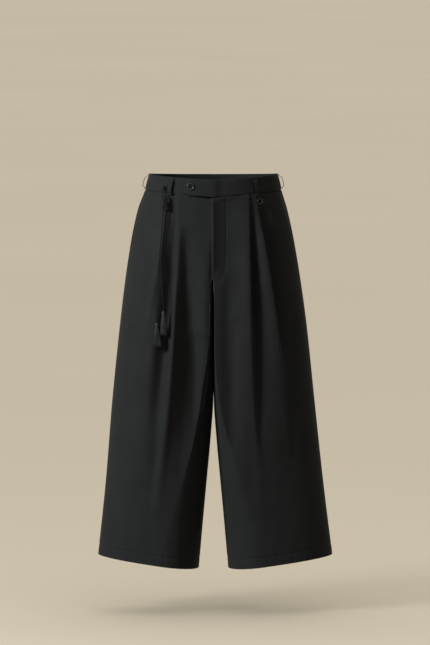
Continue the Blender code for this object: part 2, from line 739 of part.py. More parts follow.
Stretch = namedtuple("Stretch", "name step x_points z_points out_points")
CORD_STRETCHES = (
    Stretch("cord_top_long", CORD_TOP_STEP, (-0.1180, -0.1155), (-0.0180, KNOT_TOP + CORD_END_GAP),
            (0.0044, 0.0052)),
    Stretch("cord_top_short", CORD_TOP_STEP, (-0.1100, -0.1070), (-0.0180, KNOT_TOP + CORD_END_GAP),
            (0.0044, 0.0052)),
    Stretch("cord_long", CORD_STEP, (-0.1150, -0.1180, -0.1215, -0.1242, -0.1272, -0.1287),
            (KNOT_TOP - KNOT_HEIGHT - CORD_END_GAP, -0.110, -0.165, -0.220, -0.275, -0.3080),
            (0.0040, 0.0044, 0.0056, 0.0060, 0.0060, 0.0064)),
    Stretch("cord_short", CORD_STEP, (-0.1090, -0.1143, -0.1180, -0.1172, -0.1158, -0.1140),
            (KNOT_TOP - KNOT_HEIGHT - CORD_END_GAP, -0.110, -0.165, -0.210, -0.250, -0.2800),
            (0.0040, 0.0044, 0.0064, 0.0090, 0.0130, 0.0172)),
)

# How the top stretches leave the eyelet: up and out are along and away from the band
Exit = namedtuple("Exit", "up out")
EYELET_EXIT = (Exit(0.0, -0.0008), Exit(-0.0003, 0.0026), Exit(-0.0052, 0.0040))
EXIT_SIDES = {"cord_top_long": 0.0015, "cord_top_short": -0.0015}

Tassel = namedtuple("Tassel", "name x head_top length half_width half_depth")
TASSELS = (
    Tassel("long", -0.1272, -0.3146, 0.0570, 0.0120, 0.0050),
    Tassel("short", -0.1140, -0.2866, 0.0570, 0.0080, 0.0046),
)
TASSEL_NECK_SHARE = 0.86
TASSEL_ROOT_SHARE = 0.80


def smooth_route(points, step):
    """Even points along a smooth curve through the given ones."""
    padded = [points[0] * 2.0 - points[1]] + list(points) + [points[-1] * 2.0 - points[-2]]
    fine = []
    for index in range(1, len(padded) - 2):
        before, start, end, after = padded[index - 1:index + 3]
        for share in np.linspace(0.0, 1.0, 24, endpoint=False):
            bend = (2.0 * start + (end - before) * share
                    + (2.0 * before - 5.0 * start + 4.0 * end - after) * share ** 2
                    + (3.0 * start - before - 3.0 * end + after) * share ** 3)
            fine.append(bend * 0.5)
    fine.append(points[-1])
    lengths = [0.0]
    for start, end in zip(fine, fine[1:]):
        lengths.append(lengths[-1] + (end - start).length)
    count = max(2, round(lengths[-1] / step) + 1)
    targets = np.linspace(0.0, lengths[-1], count)
    coordinates = [np.interp(targets, lengths, [point[axis] for point in fine]) for axis in range(3)]
    return [Vector(values) for values in zip(*coordinates)]


def stretch_route(stretch):
    """Route of a stretch of cord: its own points, moved out from the cloth behind them."""
    route = []
    if stretch.name in EXIT_SIDES:
        centre, outward = eyelet_place()
        sideways = outward.cross(Vector((0.0, 0.0, 1.0))).normalized()
        upward = sideways.cross(outward)
        aside = EXIT_SIDES[stretch.name]
        route += [centre + sideways * aside + upward * exit_point.up + outward * exit_point.out
                  for exit_point in EYELET_EXIT]
    for x, height, out in zip(stretch.x_points, stretch.z_points, stretch.out_points):
        point, _ = place_on("right", "front", x, height, out + CORD_CLEARANCE)
        route.append(point)
    return smooth_route(route, stretch.step)


def build_cords():
    for stretch in CORD_STRETCHES:
        route = stretch_route(stretch)
        curve = bpy.data.curves.new(stretch.name, "CURVE")
        curve.dimensions = "3D"
        curve.bevel_depth = CORD_RADIUS
        curve.bevel_resolution = 2
        curve.use_fill_caps = True
        curve.render_resolution_u = 0
        spline = curve.splines.new("POLY")
        spline.points.add(len(route) - 1)
        for spline_point, place in zip(spline.points, route):
            spline_point.co = (*place, 1.0)
        piece = bpy.data.objects.new(stretch.name, curve)
        bpy.context.collection.objects.link(piece)
        curve.materials.append(plain_material(stretch.name, CORD_COLOUR, CORD_ROUGHNESS, 0.0))


def flat_turned(name, profile, place, outward, depth_share, segments, colour):
    """Turned piece pressed flat toward the cloth; the profile runs down from its top."""
    builder = turned(profile, segments)
    sideways = outward.cross(Vector((0.0, 0.0, 1.0))).normalized()
    frame = Matrix((sideways, outward, Vector((0.0, 0.0, 1.0)))).transposed().to_4x4()
    squash = Matrix.Diagonal((1.0, depth_share, 1.0, 1.0))
    builder.transform(Matrix.Translation(place) @ frame @ squash)
    return add_object(name, builder, colour, CORD_ROUGHNESS)


def build_main_knot():
    """Bulb of the knot that ties the doubled cord."""
    place, outward = place_on("right", "front", KNOT_X, KNOT_TOP - KNOT_HEIGHT / 2.0, 0.0066)
    top = KNOT_HEIGHT / 2.0
    profile = ((0.0, top), (0.0066, top), (0.0078, top * 0.5), (0.0086, -top * 0.1),
               (0.0090, -top * 0.6), (0.0080, -top * 0.95), (0.0, -top))
    flat_turned("cord_knot", profile, place, outward, 0.52, 14, CORD_COLOUR)


def build_small_knots():
    for stretch, tassel in zip(CORD_STRETCHES[2:], TASSELS):
        end = stretch_route(stretch)[-1]
        top = end.z - CORD_END_GAP
        low = tassel.head_top + SEAM
        _, outward = place_on("right", "front", tassel.x, end.z, 0.0)
        middle = Vector((end.x, end.y, (top + low) / 2.0))
        half = (top - low) / 2.0
        profile = ((0.0, half), (0.0016, half), (0.0028, half * 0.35), (0.0028, -half * 0.35),
                   (0.0018, -half), (0.0, -half))
        flat_turned("small_knot_" + tassel.name, profile, middle, outward, 1.0, 10, CORD_COLOUR)


def build_tassels():
    """Each tassel: a bound head, and threads that grow from its underside as one solid."""
    for stretch, tassel in zip(CORD_STRETCHES[2:], TASSELS):
        end = stretch_route(stretch)[-1]
        _, outward = place_on("right", "front", tassel.x, end.z, 0.0)
        segments = TASSEL_SEGMENTS
        neck = tassel.half_depth * TASSEL_NECK_SHARE
        head = ((0.0, 0.0), (0.0022, 0.0), (neck, -0.0030), (neck * 0.94, -0.0060),
                (neck * 0.98, -TASSEL_HEAD_HEIGHT), (neck * 0.62, -TASSEL_HEAD_HEIGHT),
                (neck * 0.30, -TASSEL_HEAD_HEIGHT), (0.0, -TASSEL_HEAD_HEIGHT))
        builder = turned(head, segments)
        builder.faces.ensure_lookup_table()
        under = [face for face in builder.faces
                 if all(abs(corner.co.z + TASSEL_HEAD_HEIGHT) < 1e-6 for corner in face.verts)]
        bmesh.ops.recalc_face_normals(builder, faces=builder.faces[:])
        bmesh.ops.inset_individual(builder, faces=under, thickness=0.00011)
        grow_threads(builder, under, tassel)
        frame_x = outward.cross(Vector((0.0, 0.0, 1.0))).normalized()
        frame = Matrix((frame_x, outward, Vector((0.0, 0.0, 1.0)))).transposed().to_4x4()
        place = Vector((end.x, end.y, tassel.head_top))
        builder.transform(Matrix.Translation(place) @ frame)
        add_object("tassel_" + tassel.name, builder, CORD_COLOUR, CORD_ROUGHNESS)


def grow_threads(builder, roots, tassel):
    """Lengthen each root face into a thread that falls and spreads to the tassel's skirt."""
    skirt = tassel.length - TASSEL_HEAD_HEIGHT
    neck = tassel.half_depth * TASSEL_NECK_SHARE
    spread = tassel.half_width / (neck * TASSEL_ROOT_SHARE) - 1.0
    grown = roots
    reached = 0.0
    for share in (0.45, 1.0):
        result = bmesh.ops.extrude_discrete_faces(builder, faces=grown)
        for number, face in enumerate(result["faces"]):
            unevenness = 1.0 - 0.07 * ((number * 5) % 7) / 6.0
            drop = skirt * (share - reached) * unevenness
            widening = (1.0 + share * spread) / (1.0 + reached * spread)
            centre = face.calc_center_median()
            shift = Vector((centre.x * (widening - 1.0), 0.0, -drop))
            for corner in face.verts:
                corner.co += shift
        grown = result["faces"]
        reached = share


def clear_scene():
    for existing in list(bpy.data.objects):
        bpy.data.objects.remove(existing, do_unlink=True)


def build_trousers():
    clear_scene()
    build_panels()
    build_pocket_sides()
    build_waistband()
    build_belt_loops()
    build_buttons()
    build_eyelet()
    build_cords()
    build_main_knot()
    build_small_knots()
    build_tassels()


build_trousers()
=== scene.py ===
# %% [markdown]
# # Pleated wide-leg trousers with a tasselled cord
#
# These trousers stand in the air as if someone wore them. Almost everything that the eye
# reads is cloth: how it hangs from a stiff waistband, how the pleats open, and how the legs
# widen to the hem. So the lesson starts from one outline of the hollow body, and every panel,
# seam, stitch and button is placed on that outline.

# %% Open the frame
import math
from collections import namedtuple

import bmesh
import bpy
import numpy as np
from mathutils import Matrix, Vector


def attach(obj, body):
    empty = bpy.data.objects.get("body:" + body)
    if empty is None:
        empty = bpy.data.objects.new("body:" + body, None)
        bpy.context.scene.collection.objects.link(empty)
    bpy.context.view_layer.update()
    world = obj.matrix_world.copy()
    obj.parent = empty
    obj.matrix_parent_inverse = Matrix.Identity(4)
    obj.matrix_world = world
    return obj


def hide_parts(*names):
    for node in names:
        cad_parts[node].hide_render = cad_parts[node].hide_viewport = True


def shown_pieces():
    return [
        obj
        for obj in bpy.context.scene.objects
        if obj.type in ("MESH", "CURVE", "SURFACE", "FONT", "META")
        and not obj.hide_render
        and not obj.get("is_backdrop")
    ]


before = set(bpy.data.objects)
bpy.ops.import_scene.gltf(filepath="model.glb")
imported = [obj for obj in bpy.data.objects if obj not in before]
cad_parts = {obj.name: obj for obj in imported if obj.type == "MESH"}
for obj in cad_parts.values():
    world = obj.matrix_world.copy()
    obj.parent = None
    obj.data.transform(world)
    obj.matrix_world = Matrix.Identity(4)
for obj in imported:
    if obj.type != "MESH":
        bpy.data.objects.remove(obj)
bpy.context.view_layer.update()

bpy.ops.object.select_all(action="DESELECT")

# %% [markdown]
# ## The outline of the body
#
# A tailor's dummy could be modelled and the cloth shrunk on to it, but then no seam would
# have a known place. Here the dummy is a formula instead. A table gives the width and depth
# at a few heights, and a rounded section joins them. A second table gives the soft folds.

# %% Sizes of the cut, in metres
# The backs run SEAM_UNDER past the side seam and lie SEAM_SUNK lower, so no light comes through
WALL = 0.0012
SEAM = 0.0003
HALF_SEAM = SEAM / 2
SEAM_UNDER = 0.0008
SEAM_SUNK = 0.0003
SEAM_SHARE = 0.02
UNDER = WALL + 0.0010
WAIST_SEAM = -0.0193
RIM = 0.0197
FLY_END = -0.215
CROTCH = -0.326
HEM = -0.904
RISE_CURVE = 0.132
BACK_RISE_CURVE = 0.165
InnerRound = namedtuple("InnerRound", "crotch hem")
INNER_ROUND = {"left": InnerRound(0.014, 0.34), "right": InnerRound(0.036, 0.38)}
RIM_LIFT = 0.0085
SEAM_LIFT = 0.0120
LIFT_FADE_END = -0.150
HEM_LIFT = 0.032
HEM_LIFT_START = -0.450
FLY_LAP = 0.0047
FLY_UNDERLAP = 0.0060
POCKET_TOP_SHARE = 0.81
POCKET_END = -0.185
POCKET_UNDERLAP = 0.05
SIGN = {"left": 1.0, "right": -1.0, "front": -1.0, "back": 1.0}

Section = namedtuple("Section", "height outer_right outer_left front back squareness")
SECTIONS = tuple(Section(*row) for row in (
    (-0.904, 0.2765, 0.2850, 0.1105, 0.1150, 2.40),
    (-0.697, 0.2546, 0.2591, 0.1135, 0.1180, 2.40),
    (-0.507, 0.2391, 0.2386, 0.1180, 0.1230, 2.38),
    (-0.326, 0.2205, 0.2195, 0.1240, 0.1310, 2.32),
    (-0.223, 0.2082, 0.2053, 0.1262, 0.1335, 2.28),
    (-0.128, 0.1938, 0.1895, 0.1225, 0.1270, 2.24),
    (-0.057, 0.1784, 0.1740, 0.1150, 0.1170, 2.20),
    (-0.010, 0.1610, 0.1600, 0.1095, 0.1105, 2.16),
    (0.030, 0.1500, 0.1500, 0.1060, 0.1065, 2.15)))
InnerLeg = namedtuple("InnerLeg", "height inner")
INNER_LEG = tuple(InnerLeg(*row) for row in (
    (-0.904, 0.0345), (-0.792, 0.0247), (-0.697, 0.0159), (-0.602, 0.0072),
    (-0.507, 0.0005), (-0.479, -0.00005), (-0.326, -0.00005)))
print(len(SECTIONS), "sections from hem to rim")

# %% Soft folds: each runs down the leg as a curve, and rises or sinks by its own depth
Fold = namedtuple("Fold", "leg face top low x_top x_mid x_low rise to_centre to_side")
FOLDS = tuple(Fold(*row) for row in (
    ("left", "front", -0.045, -0.760, 0.060, 0.066, 0.074, 0.0022, 0.026, 0.016),
    ("left", "front", -0.045, -0.680, 0.096, 0.124, 0.142, 0.0012, 0.014, 0.018),
    ("left", "front", -0.330, -0.860, 0.146, 0.162, 0.176, -0.0012, 0.018, 0.022),
    ("right", "front", -0.085, -0.830, 0.080, 0.1000, 0.150, 0.0100, 0.011, 0.010),
    ("right", "front", -0.090, -0.740, 0.062, 0.066, 0.080, -0.0125, 0.034, 0.016),
    ("right", "front", -0.140, -0.760, 0.022, 0.024, 0.044, 0.0025, 0.012, 0.020),
    ("right", "front", -0.072, -0.620, 0.0905, 0.1140, 0.145, -0.0100, 0.008, 0.013),
    ("right", "front", -0.040, -0.700, 0.112, 0.140, 0.166, 0.0080, 0.013, 0.018),
    ("right", "front", -0.100, -0.820, 0.160, 0.180, 0.190, 0.0040, 0.026, 0.026),
    ("left", "back", -0.120, -0.860, 0.092, 0.105, 0.122, 0.0060, 0.024, 0.026),
    ("left", "back", -0.260, -0.840, 0.150, 0.160, 0.172, -0.0055, 0.020, 0.024),
    ("right", "back", -0.100, -0.840, 0.096, 0.110, 0.126, 0.0065, 0.026, 0.022),
    ("right", "back", -0.280, -0.870, 0.156, 0.166, 0.180, -0.0050, 0.022, 0.022)))

# Creases are finer than folds. The cord's route ignores them and stays where the CAD has it
CREASES = tuple(Fold(*row) for row in (
    ("left", "front", -0.060, -0.640, 0.106, 0.147, 0.180, 0.0150, 0.024, 0.004),
    ("left", "front", -0.050, -0.660, 0.080, 0.087, 0.100, 0.0090, 0.018, 0.007),
    ("left", "front", -0.190, -0.780, 0.036, 0.038, 0.046, -0.0060, 0.018, 0.022),
    ("left", "front", -0.020, -0.200, 0.134, 0.141, 0.160, 0.0030, 0.009, 0.012),
    ("left", "front", -0.300, -0.700, 0.050, 0.044, 0.040, -0.0018, 0.010, 0.012),
    ("left", "front", -0.520, -0.880, 0.100, 0.108, 0.112, 0.0022, 0.014, 0.012),
    ("left", "front", -0.230, -0.520, 0.184, 0.190, 0.200, -0.0016, 0.008, 0.010),
    ("right", "front", -0.130, -0.420, 0.119, 0.143, 0.172, 0.0036, 0.006, 0.011),
    ("right", "front", -0.180, -0.700, 0.081, 0.088, 0.112, -0.0045, 0.030, 0.0065),
    ("right", "front", -0.220, -0.700, 0.052, 0.050, 0.050, -0.0045, 0.020, 0.022),
    ("right", "front", -0.340, -0.880, 0.046, 0.042, 0.040, -0.0140, 0.060, 0.055),
    ("right", "front", -0.115, -0.400, -0.001, -0.001, -0.001, -0.0060, 0.010, 0.008),
    ("right", "front", -0.260, -0.800, 0.010, 0.010, 0.010, -0.0070, 0.030, 0.045),
    ("right", "front", -0.005, -0.125, 0.090, 0.090, 0.090, -0.0045, 0.0035, 0.030),
    ("right", "front", -0.320, -0.640, 0.050, 0.046, 0.048, -0.0015, 0.009, 0.010),
    ("right", "front", -0.560, -0.890, 0.130, 0.142, 0.150, -0.0020, 0.012, 0.014),
    ("right", "front", -0.260, -0.560, 0.180, 0.192, 0.204, -0.0014, 0.008, 0.010),
    ("left", "back", -0.180, -0.460, 0.040, 0.046, 0.050, -0.0018, 0.012, 0.010),
    ("left", "back", -0.460, -0.880, 0.070, 0.082, 0.096, 0.0022, 0.014, 0.012),
    ("right", "back", -0.200, -0.500, 0.048, 0.052, 0.058, -0.0016, 0.010, 0.012),
    ("right", "back", -0.520, -0.880, 0.100, 0.092, 0.086, 0.0020, 0.012, 0.014)))
print(len(FOLDS), "folds and", len(CREASES), "creases")

# %% Pleats: an open one's edge stands out, and the cloth beside it drops away to the side
OpenPleat = namedtuple("OpenPleat", "leg low x_top x_mid x_low stand drop to_centre to_side")
OPEN_PLEATS = tuple(OpenPleat(*row) for row in (
    ("left", -0.620, 0.083, 0.0902, 0.108, 0.0060, -0.0100, 0.030, 0.016),
    ("left", -0.500, 0.100, 0.139, 0.182, 0.0045, -0.0090, 0.018, 0.026)))
EDGE_SHARP = 0.0020
EDGE_SOFT = 0.0140

# Edges of the pleats that are sewn shut at the waist seam
PleatLine = namedtuple("PleatLine", "x_seam x_knee x_hem")
PLEAT_LINES = {
    "left": (PleatLine(0.083, 0.104, 0.118), PleatLine(0.106, 0.160, 0.190)),
    "right": (PleatLine(0.086, 0.094, 0.120), PleatLine(0.116, 0.144, 0.176)),
}
PLEAT_STEP = 0.0022
PLEAT_STEP_LENGTH = 0.095
PLEAT_STEP_SHARP = 0.0012
PLEAT_STEP_SOFT = 0.016
print(len(OPEN_PLEATS), "open pleats")


# %% Reading the tables
def smooth_step(value):
    """Ease from 0 to 1."""
    clipped = np.clip(value, 0.0, 1.0)
    return clipped * clipped * (3.0 - 2.0 * clipped)


def bent(start, middle, end, down):
    """Line from start to end that passes through middle half way down."""
    bend = 4.0 * (middle - (start + end) / 2.0)
    return start + (end - start) * down + bend * down * (1.0 - down)


def swell(down):
    """Nothing at both ends of a fold, and full a little above its middle."""
    return np.sin(math.pi * down ** 0.7)


def along(rows, column, height):
    """Read one column of a table at any height, as a smooth curve that never overshoots."""
    heights = np.array([row.height for row in rows])
    values = np.array([getattr(row, column) for row in rows])
    gaps = np.diff(heights)
    slopes = np.diff(values) / gaps
    before, after = slopes[:-1], slopes[1:]
    same_way = before * after > 0
    total = np.where(same_way, before + after, 1.0)
    inner_slopes = np.where(same_way, 2.0 * before * after / total, 0.0)
    tangents = np.concatenate((slopes[:1], inner_slopes, slopes[-1:]))
    height = np.clip(np.asarray(height, dtype=float), heights[0], heights[-1])
    index = np.clip(np.searchsorted(heights, height) - 1, 0, len(gaps) - 1)
    step = gaps[index]
    share = (height - heights[index]) / step
    start_weight = (1.0 + 2.0 * share) * (1.0 - share) ** 2
    end_weight = share ** 2 * (3.0 - 2.0 * share)
    start_pull = share * (1.0 - share) ** 2 * step
    end_pull = share ** 2 * (share - 1.0) * step
    return (start_weight * values[index] + end_weight * values[index + 1]
            + start_pull * tangents[index] + end_pull * tangents[index + 1])


def outer_width(leg, height):
    return along(SECTIONS, "outer_" + leg, height)


def inner_edge(leg, face, height):
    """A panel's inner edge: the inner leg, the centre seam above it, and the lap at the fly."""
    inner = along(INNER_LEG, "inner", height)
    if face == "back":
        return inner
    lap = FLY_LAP if leg == "left" else FLY_UNDERLAP
    return inner - smooth_step((height - FLY_END) / 0.010) * (lap + inner)


print("hem of the left leg is", round(float(outer_width("left", HEM)), 4), "m out")


# %% The bare body
SHARE_STEP = 0.0008


def leg_rounding(face, height):
    """How much of the inner leg's rounding is left above the crotch."""
    length = RISE_CURVE if face == "front" else BACK_RISE_CURVE
    above = np.clip((height - CROTCH) / length, 0.0, 1.0)
    return 1.0 - above ** 2


def lifted(face, across, roundness, row_height):
    """Raise the waist seam toward the sides and the hem toward the outseam."""
    top_fade = smooth_step((row_height - LIFT_FADE_END) / (WAIST_SEAM - LIFT_FADE_END))
    seam_share = smooth_step((row_height - WAIST_SEAM) / (RIM - WAIST_SEAM))
    lift = SEAM_LIFT + (RIM_LIFT - SEAM_LIFT) * seam_share
    toward_side = across ** 1.1 if face == "front" else 1.0 - roundness
    hem_fade = smooth_step((HEM_LIFT_START - row_height) / (HEM_LIFT_START - HEM))
    return row_height + lift * toward_side * top_fade + HEM_LIFT * across * hem_fade


def bare_outline(leg, face, share, row_height):
    """Point of the body without folds; share runs from 0 at the centre to 1 at the side."""
    across = (1.0 - np.cos(math.pi * share)) / 2.0
    power = along(SECTIONS, "squareness", row_height)
    roundness = np.clip(1.0 - across ** power, 0.0, 1.0) ** (1.0 / power)
    height = lifted(face, across, roundness, row_height)
    inner = inner_edge(leg, face, height)
    outer = outer_width(leg, height)
    x = inner + (outer - inner) * across
    down_leg = smooth_step((CROTCH - row_height) / (CROTCH - HEM)) ** 1.3
    rounding = INNER_ROUND[leg]
    round_share = rounding.crotch + (rounding.hem - rounding.crotch) * down_leg
    near_inner = np.clip(1.0 - across / round_share, 0.0, 1.0) * leg_rounding(face, row_height)
    depth = along(SECTIONS, face, height)
    past_seam = HALF_SEAM if face == "front" else -SEAM_UNDER
    y = depth * roundness * np.sqrt(1.0 - near_inner ** 2) + past_seam
    return SIGN[leg] * x, SIGN[face] * y, height


def outward_at(leg, face, share, row_height):
    """Level direction square to the bare body, from two points close on either side."""
    low = bare_outline(leg, face, np.clip(share - SHARE_STEP, 0.0, 1.0), row_height)
    high = bare_outline(leg, face, np.clip(share + SHARE_STEP, 0.0, 1.0), row_height)
    along_x, along_y = high[0] - low[0], high[1] - low[1]
    turn = -SIGN[leg] * SIGN[face] / np.hypot(along_x, along_y)
    return turn * along_y, -turn * along_x


hip = bare_outline("left", "front", 1.0, -0.2)
print("side of the hip at", [round(float(value), 3) for value in hip])


# %% How far each fold, pleat and lap moves the cloth out
def fold_rise(folds, leg, face, x, height):
    rise = np.zeros(np.broadcast(x, height).shape)
    for fold in folds:
        if fold.leg != leg or fold.face != face:
            continue
        down = np.clip((fold.top - height) / (fold.top - fold.low), 0.0, 1.0)
        centre = bent(fold.x_top, fold.x_mid, fold.x_low, down)
        spread = np.where(x < centre, fold.to_centre, fold.to_side) * (0.75 + 0.6 * down)
        rise = rise + fold.rise * swell(down) * np.exp(-((x - centre) / spread) ** 2)
    return rise


def pleat_x(line, height):
    """Distance of a pleat's edge from the centre."""
    down = np.clip((WAIST_SEAM - height) / (WAIST_SEAM - HEM), 0.0, 1.0)
    return bent(line.x_seam, line.x_knee, line.x_hem, down)


def pleat_rise(leg, x, height):
    """The step of a pleat that is sewn shut: its edge faces the side and is sharp."""
    rise = np.zeros(np.broadcast(x, height).shape)
    fade = 1.0 - smooth_step((WAIST_SEAM - height) / PLEAT_STEP_LENGTH)
    for line in PLEAT_LINES[leg]:
        away = x - pleat_x(line, height)
        soft = np.exp(-(away / PLEAT_STEP_SOFT) ** 2)
        sharp = np.exp(-(away / PLEAT_STEP_SHARP) ** 2)
        rise = rise + PLEAT_STEP * fade * np.where(away < 0.0, soft, sharp)
    return rise


def open_pleat_rise(leg, x, height):
    """The lifted edge of each open pleat, and the hollow beside it."""
    rise = np.zeros(np.broadcast(x, height).shape)
    for pleat in OPEN_PLEATS:
        if pleat.leg != leg:
            continue
        down = np.clip((WAIST_SEAM - height) / (WAIST_SEAM - pleat.low), 0.0, 1.0)
        edge = bent(pleat.x_top, pleat.x_mid, pleat.x_low, down)
        turn = EDGE_SHARP + (EDGE_SOFT - EDGE_SHARP) * down
        past_edge = smooth_step(0.5 + (x - edge) / turn)
        stand = pleat.stand * np.exp(-((x - edge) / pleat.to_centre) ** 2)
        drop = pleat.drop * np.exp(-((x - edge) / pleat.to_side) ** 2)
        rise = rise + swell(down) * (stand * (1.0 - past_edge) + drop * past_edge)
    return rise


print("folds and pleats are ready")


# %% The fly: a lap that stands out, with a stiff rolled edge
FLY_STEP = 0.0014
FLY_STEP_FLAT = 0.012
FLY_STEP_END = 0.045
FLY_STEP_LOW = -0.255
LAP_ROLL = 0.0110
LAP_SINK = 0.0030
LAP_LINE = 0.030
LAP_EDGE = 0.0014
LAP_FADE = 0.040
LAP_LOW = -0.208


def fly_rise(leg, x, height):
    """The lapping left front stands out at the fly, and the right front lies in behind it."""
    across = 1.0 - smooth_step((x - FLY_STEP_FLAT) / (FLY_STEP_END - FLY_STEP_FLAT))
    down = smooth_step((height - FLY_STEP_LOW) / 0.035)
    return SIGN[leg] * FLY_STEP * across * down


def lap_roll(leg, x, height):
    """The fly's stiff edge rolls forward, and the cloth sinks from it to the stitch line."""
    if leg == "right":
        return 0.0
    inside = np.clip((x + FLY_LAP) / (LAP_LINE + FLY_LAP), 0.0, 1.0)
    turned = 1.0 - np.exp(-np.clip(x + FLY_LAP, 0.0, None) / LAP_EDGE)
    rolled = LAP_ROLL * (1.0 - inside) ** 2.2 * turned - LAP_SINK
    beyond = 1.0 - smooth_step((x - LAP_LINE) / LAP_FADE)
    top_fade = smooth_step((WAIST_SEAM - height) / 0.014)
    low_fade = smooth_step((height - LAP_LOW) / 0.034)
    return rolled * beyond * top_fade * low_fade


print("the fly's edge rolls forward by", LAP_ROLL * 1000, "mm")

# %% [markdown]
# Real cloth is never quite smooth between its folds, and a hem that is turned up and sewn
# draws in a little at each stitch. Both are tenths of a millimetre, but they break up the
# light, so they are added as small waves whose lengths have no common measure.

# %% Small unevenness
HEM_DEPTH = 0.024


def ripple(leg, face, x, height):
    """Faint unevenness of hanging cloth, up to two thirds of a millimetre."""
    phase = SIGN[leg] * 1.7 + SIGN[face] * 0.9
    slow = np.sin(x * 61.0 + height * 13.0 + phase) * np.sin(height * 17.0 - x * 9.0 + phase)
    quick = np.sin(x * 143.0 - height * 21.0 + 2.0 * phase) * np.sin(height * 37.0 + phase)
    return 0.00050 * slow + 0.00018 * quick


CurvePoint = namedtuple("CurvePoint", "height x")
FLY_CURVE = tuple(CurvePoint(*point) for point in (
    (-0.2235, 0.0030), (-0.217, 0.0120), (-0.202, 0.0215), (-0.178, 0.0275),
    (-0.150, 0.0295), (-0.090, 0.0300), (-0.019, 0.0300)))


def fly_groove(leg, x, height):
    """The row of stitches beside the fly lies in a shallow groove."""
    if leg == "right":
        return 0.0
    line = along(FLY_CURVE, "x", height)
    near_bottom = smooth_step((height + 0.2240) / 0.004)
    width = 0.0017 + 0.0040 * smooth_step((-0.200 - height) / 0.020)
    return -0.0013 * np.exp(-((x - line) / width) ** 2) * near_bottom


def hem_pucker(leg, x, above_hem):
    """The stitch line of the hem lies in, and the turned-up cloth below it draws into waves."""
    groove = -0.0007 * np.exp(-((above_hem - HEM_DEPTH) / 0.0022) ** 2)
    uneven = np.sin(x * 320.0 + SIGN[leg]) + 0.6 * np.sin(x * 517.0 + 1.3)
    wave = 0.00022 * uneven * np.exp(-((above_hem - HEM_DEPTH * 0.7) / 0.014) ** 2)
    return groove + wave


def seam_tuck(leg, x, row_height):
    """The seam pulls the top of each panel in under the band, and more so under the tab."""
    below = np.maximum(WAIST_SEAM - row_height, 0.0)
    under_tab = smooth_step((x - 0.002) / 0.004) * (1.0 - smooth_step((x - 0.050) / 0.008))
    deeper = 0.0042 * under_tab * np.exp(-(below / 0.0065) ** 2) if leg == "right" else 0.0
    return -0.0016 * np.exp(-(below / 0.0034) ** 2) - deeper


print("hem is turned up by", HEM_DEPTH * 1000, "mm")


# %% A point on the cloth
def outline(leg, face, share, row_height, moved_out=0.0, fine=True):
    """Point on the outside of the cloth, or moved_out beyond it, and its sideways direction."""
    share, row_height = np.broadcast_arrays(share, row_height)
    out_x, out_y = outward_at(leg, face, share, row_height)
    x, y, height = bare_outline(leg, face, share, row_height)
    distance = x * SIGN[leg]
    inner = inner_edge(leg, face, height)
    outer = outer_width(leg, height)
    edge_fade = smooth_step((distance - inner) / 0.012) * smooth_step((outer - distance) / 0.016)
    rise = fold_rise(FOLDS, leg, face, distance, height)
    if fine:
        down_fade = smooth_step((WAIST_SEAM - height) / 0.030)
        rise = rise + fold_rise(CREASES, leg, face, distance, height)
        rise = rise + ripple(leg, face, distance, height) * down_fade
    rise = rise * edge_fade
    if face == "front":
        rise = rise + pleat_rise(leg, distance, height) * edge_fade
        rise = rise + open_pleat_rise(leg, distance, height) * edge_fade
        rise = rise + fly_rise(leg, distance, height)
    if face == "back":
        near_centre = smooth_step(1.0 - share / SEAM_SHARE)
        near_side = smooth_step((share - 1.0 + SEAM_SHARE) / SEAM_SHARE)
        rise = rise - SEAM_SUNK * (near_centre + near_side)
    if fine:
        rise = rise + hem_pucker(leg, distance, row_height - HEM)
        rise = rise + seam_tuck(leg, distance, row_height)
        if face == "front":
            rise = rise + fly_groove(leg, distance, height) + lap_roll(leg, distance, height)
    out = rise + moved_out
    return np.stack((x + out * out_x, y + out * out_y, height), axis=-1), (out_x, out_y)


def share_at(leg, face, x, row_height):
    """Share of the way round at which the outline is x from the centre."""
    inner = inner_edge(leg, face, row_height)
    across = (x - inner) / (outer_width(leg, row_height) - inner)
    return np.arccos(1.0 - 2.0 * np.clip(across, 0.0, 1.0)) / math.pi


def place_on(leg, face, x, height, moved_out, fine=True):
    """Point moved out from the cloth at a given x and height, with the outward direction."""
    row_height = height
    for _ in range(6):
        share = share_at(leg, face, x * SIGN[leg], row_height)
        point, (out_x, out_y) = outline(leg, face, share, row_height, moved_out, fine)
        row_height = row_height + float(height - point[2])
    return Vector([float(value) for value in point]), Vector((float(out_x), float(out_y), 0.0))


print("knee of the right front at", place_on("right", "front", -0.12, -0.5, 0.0)[0])

# %% [markdown]
# ## The camera
#
# The picture was taken from far away: the waistband is seen from about 5 degrees above and
# the hem from only a little more. A long lens at 16 m gives that flat view, and its focal
# length follows from how tall the frame is at the trousers.

# %% Camera at the picture's angle
AIM = Vector((0.0035, 0.0, -0.324))
CAMERA_DISTANCE = 16.0
CAMERA_ELEVATION = math.radians(5.0)
FRAME_HEIGHT = 1.522
SENSOR = 36.0

bpy.ops.object.camera_add()
camera = bpy.context.object
camera.name = "picture_camera"
back = Vector((0.0, -math.cos(CAMERA_ELEVATION), math.sin(CAMERA_ELEVATION)))
camera.location = AIM + back * CAMERA_DISTANCE
camera.rotation_euler = (math.pi / 2 - CAMERA_ELEVATION, 0.0, 0.0)
camera.data.sensor_width = SENSOR
camera.data.lens = SENSOR * CAMERA_DISTANCE / FRAME_HEIGHT
camera.data.clip_end = 400.0
bpy.context.scene.camera = camera
bpy.ops.object.select_all(action="DESELECT")
print("lens", round(camera.data.lens), "mm at", CAMERA_DISTANCE, "m")

# %% [markdown]
# ## Waistband line
#
# The band is a stiff doubled strip, so it takes no part in the folds. It follows the bare
# body, a little proud of the panels. Its left half ends in a rounded tab that steps out over
# the right half. The cord starts on the band, so this line is needed before the cord.

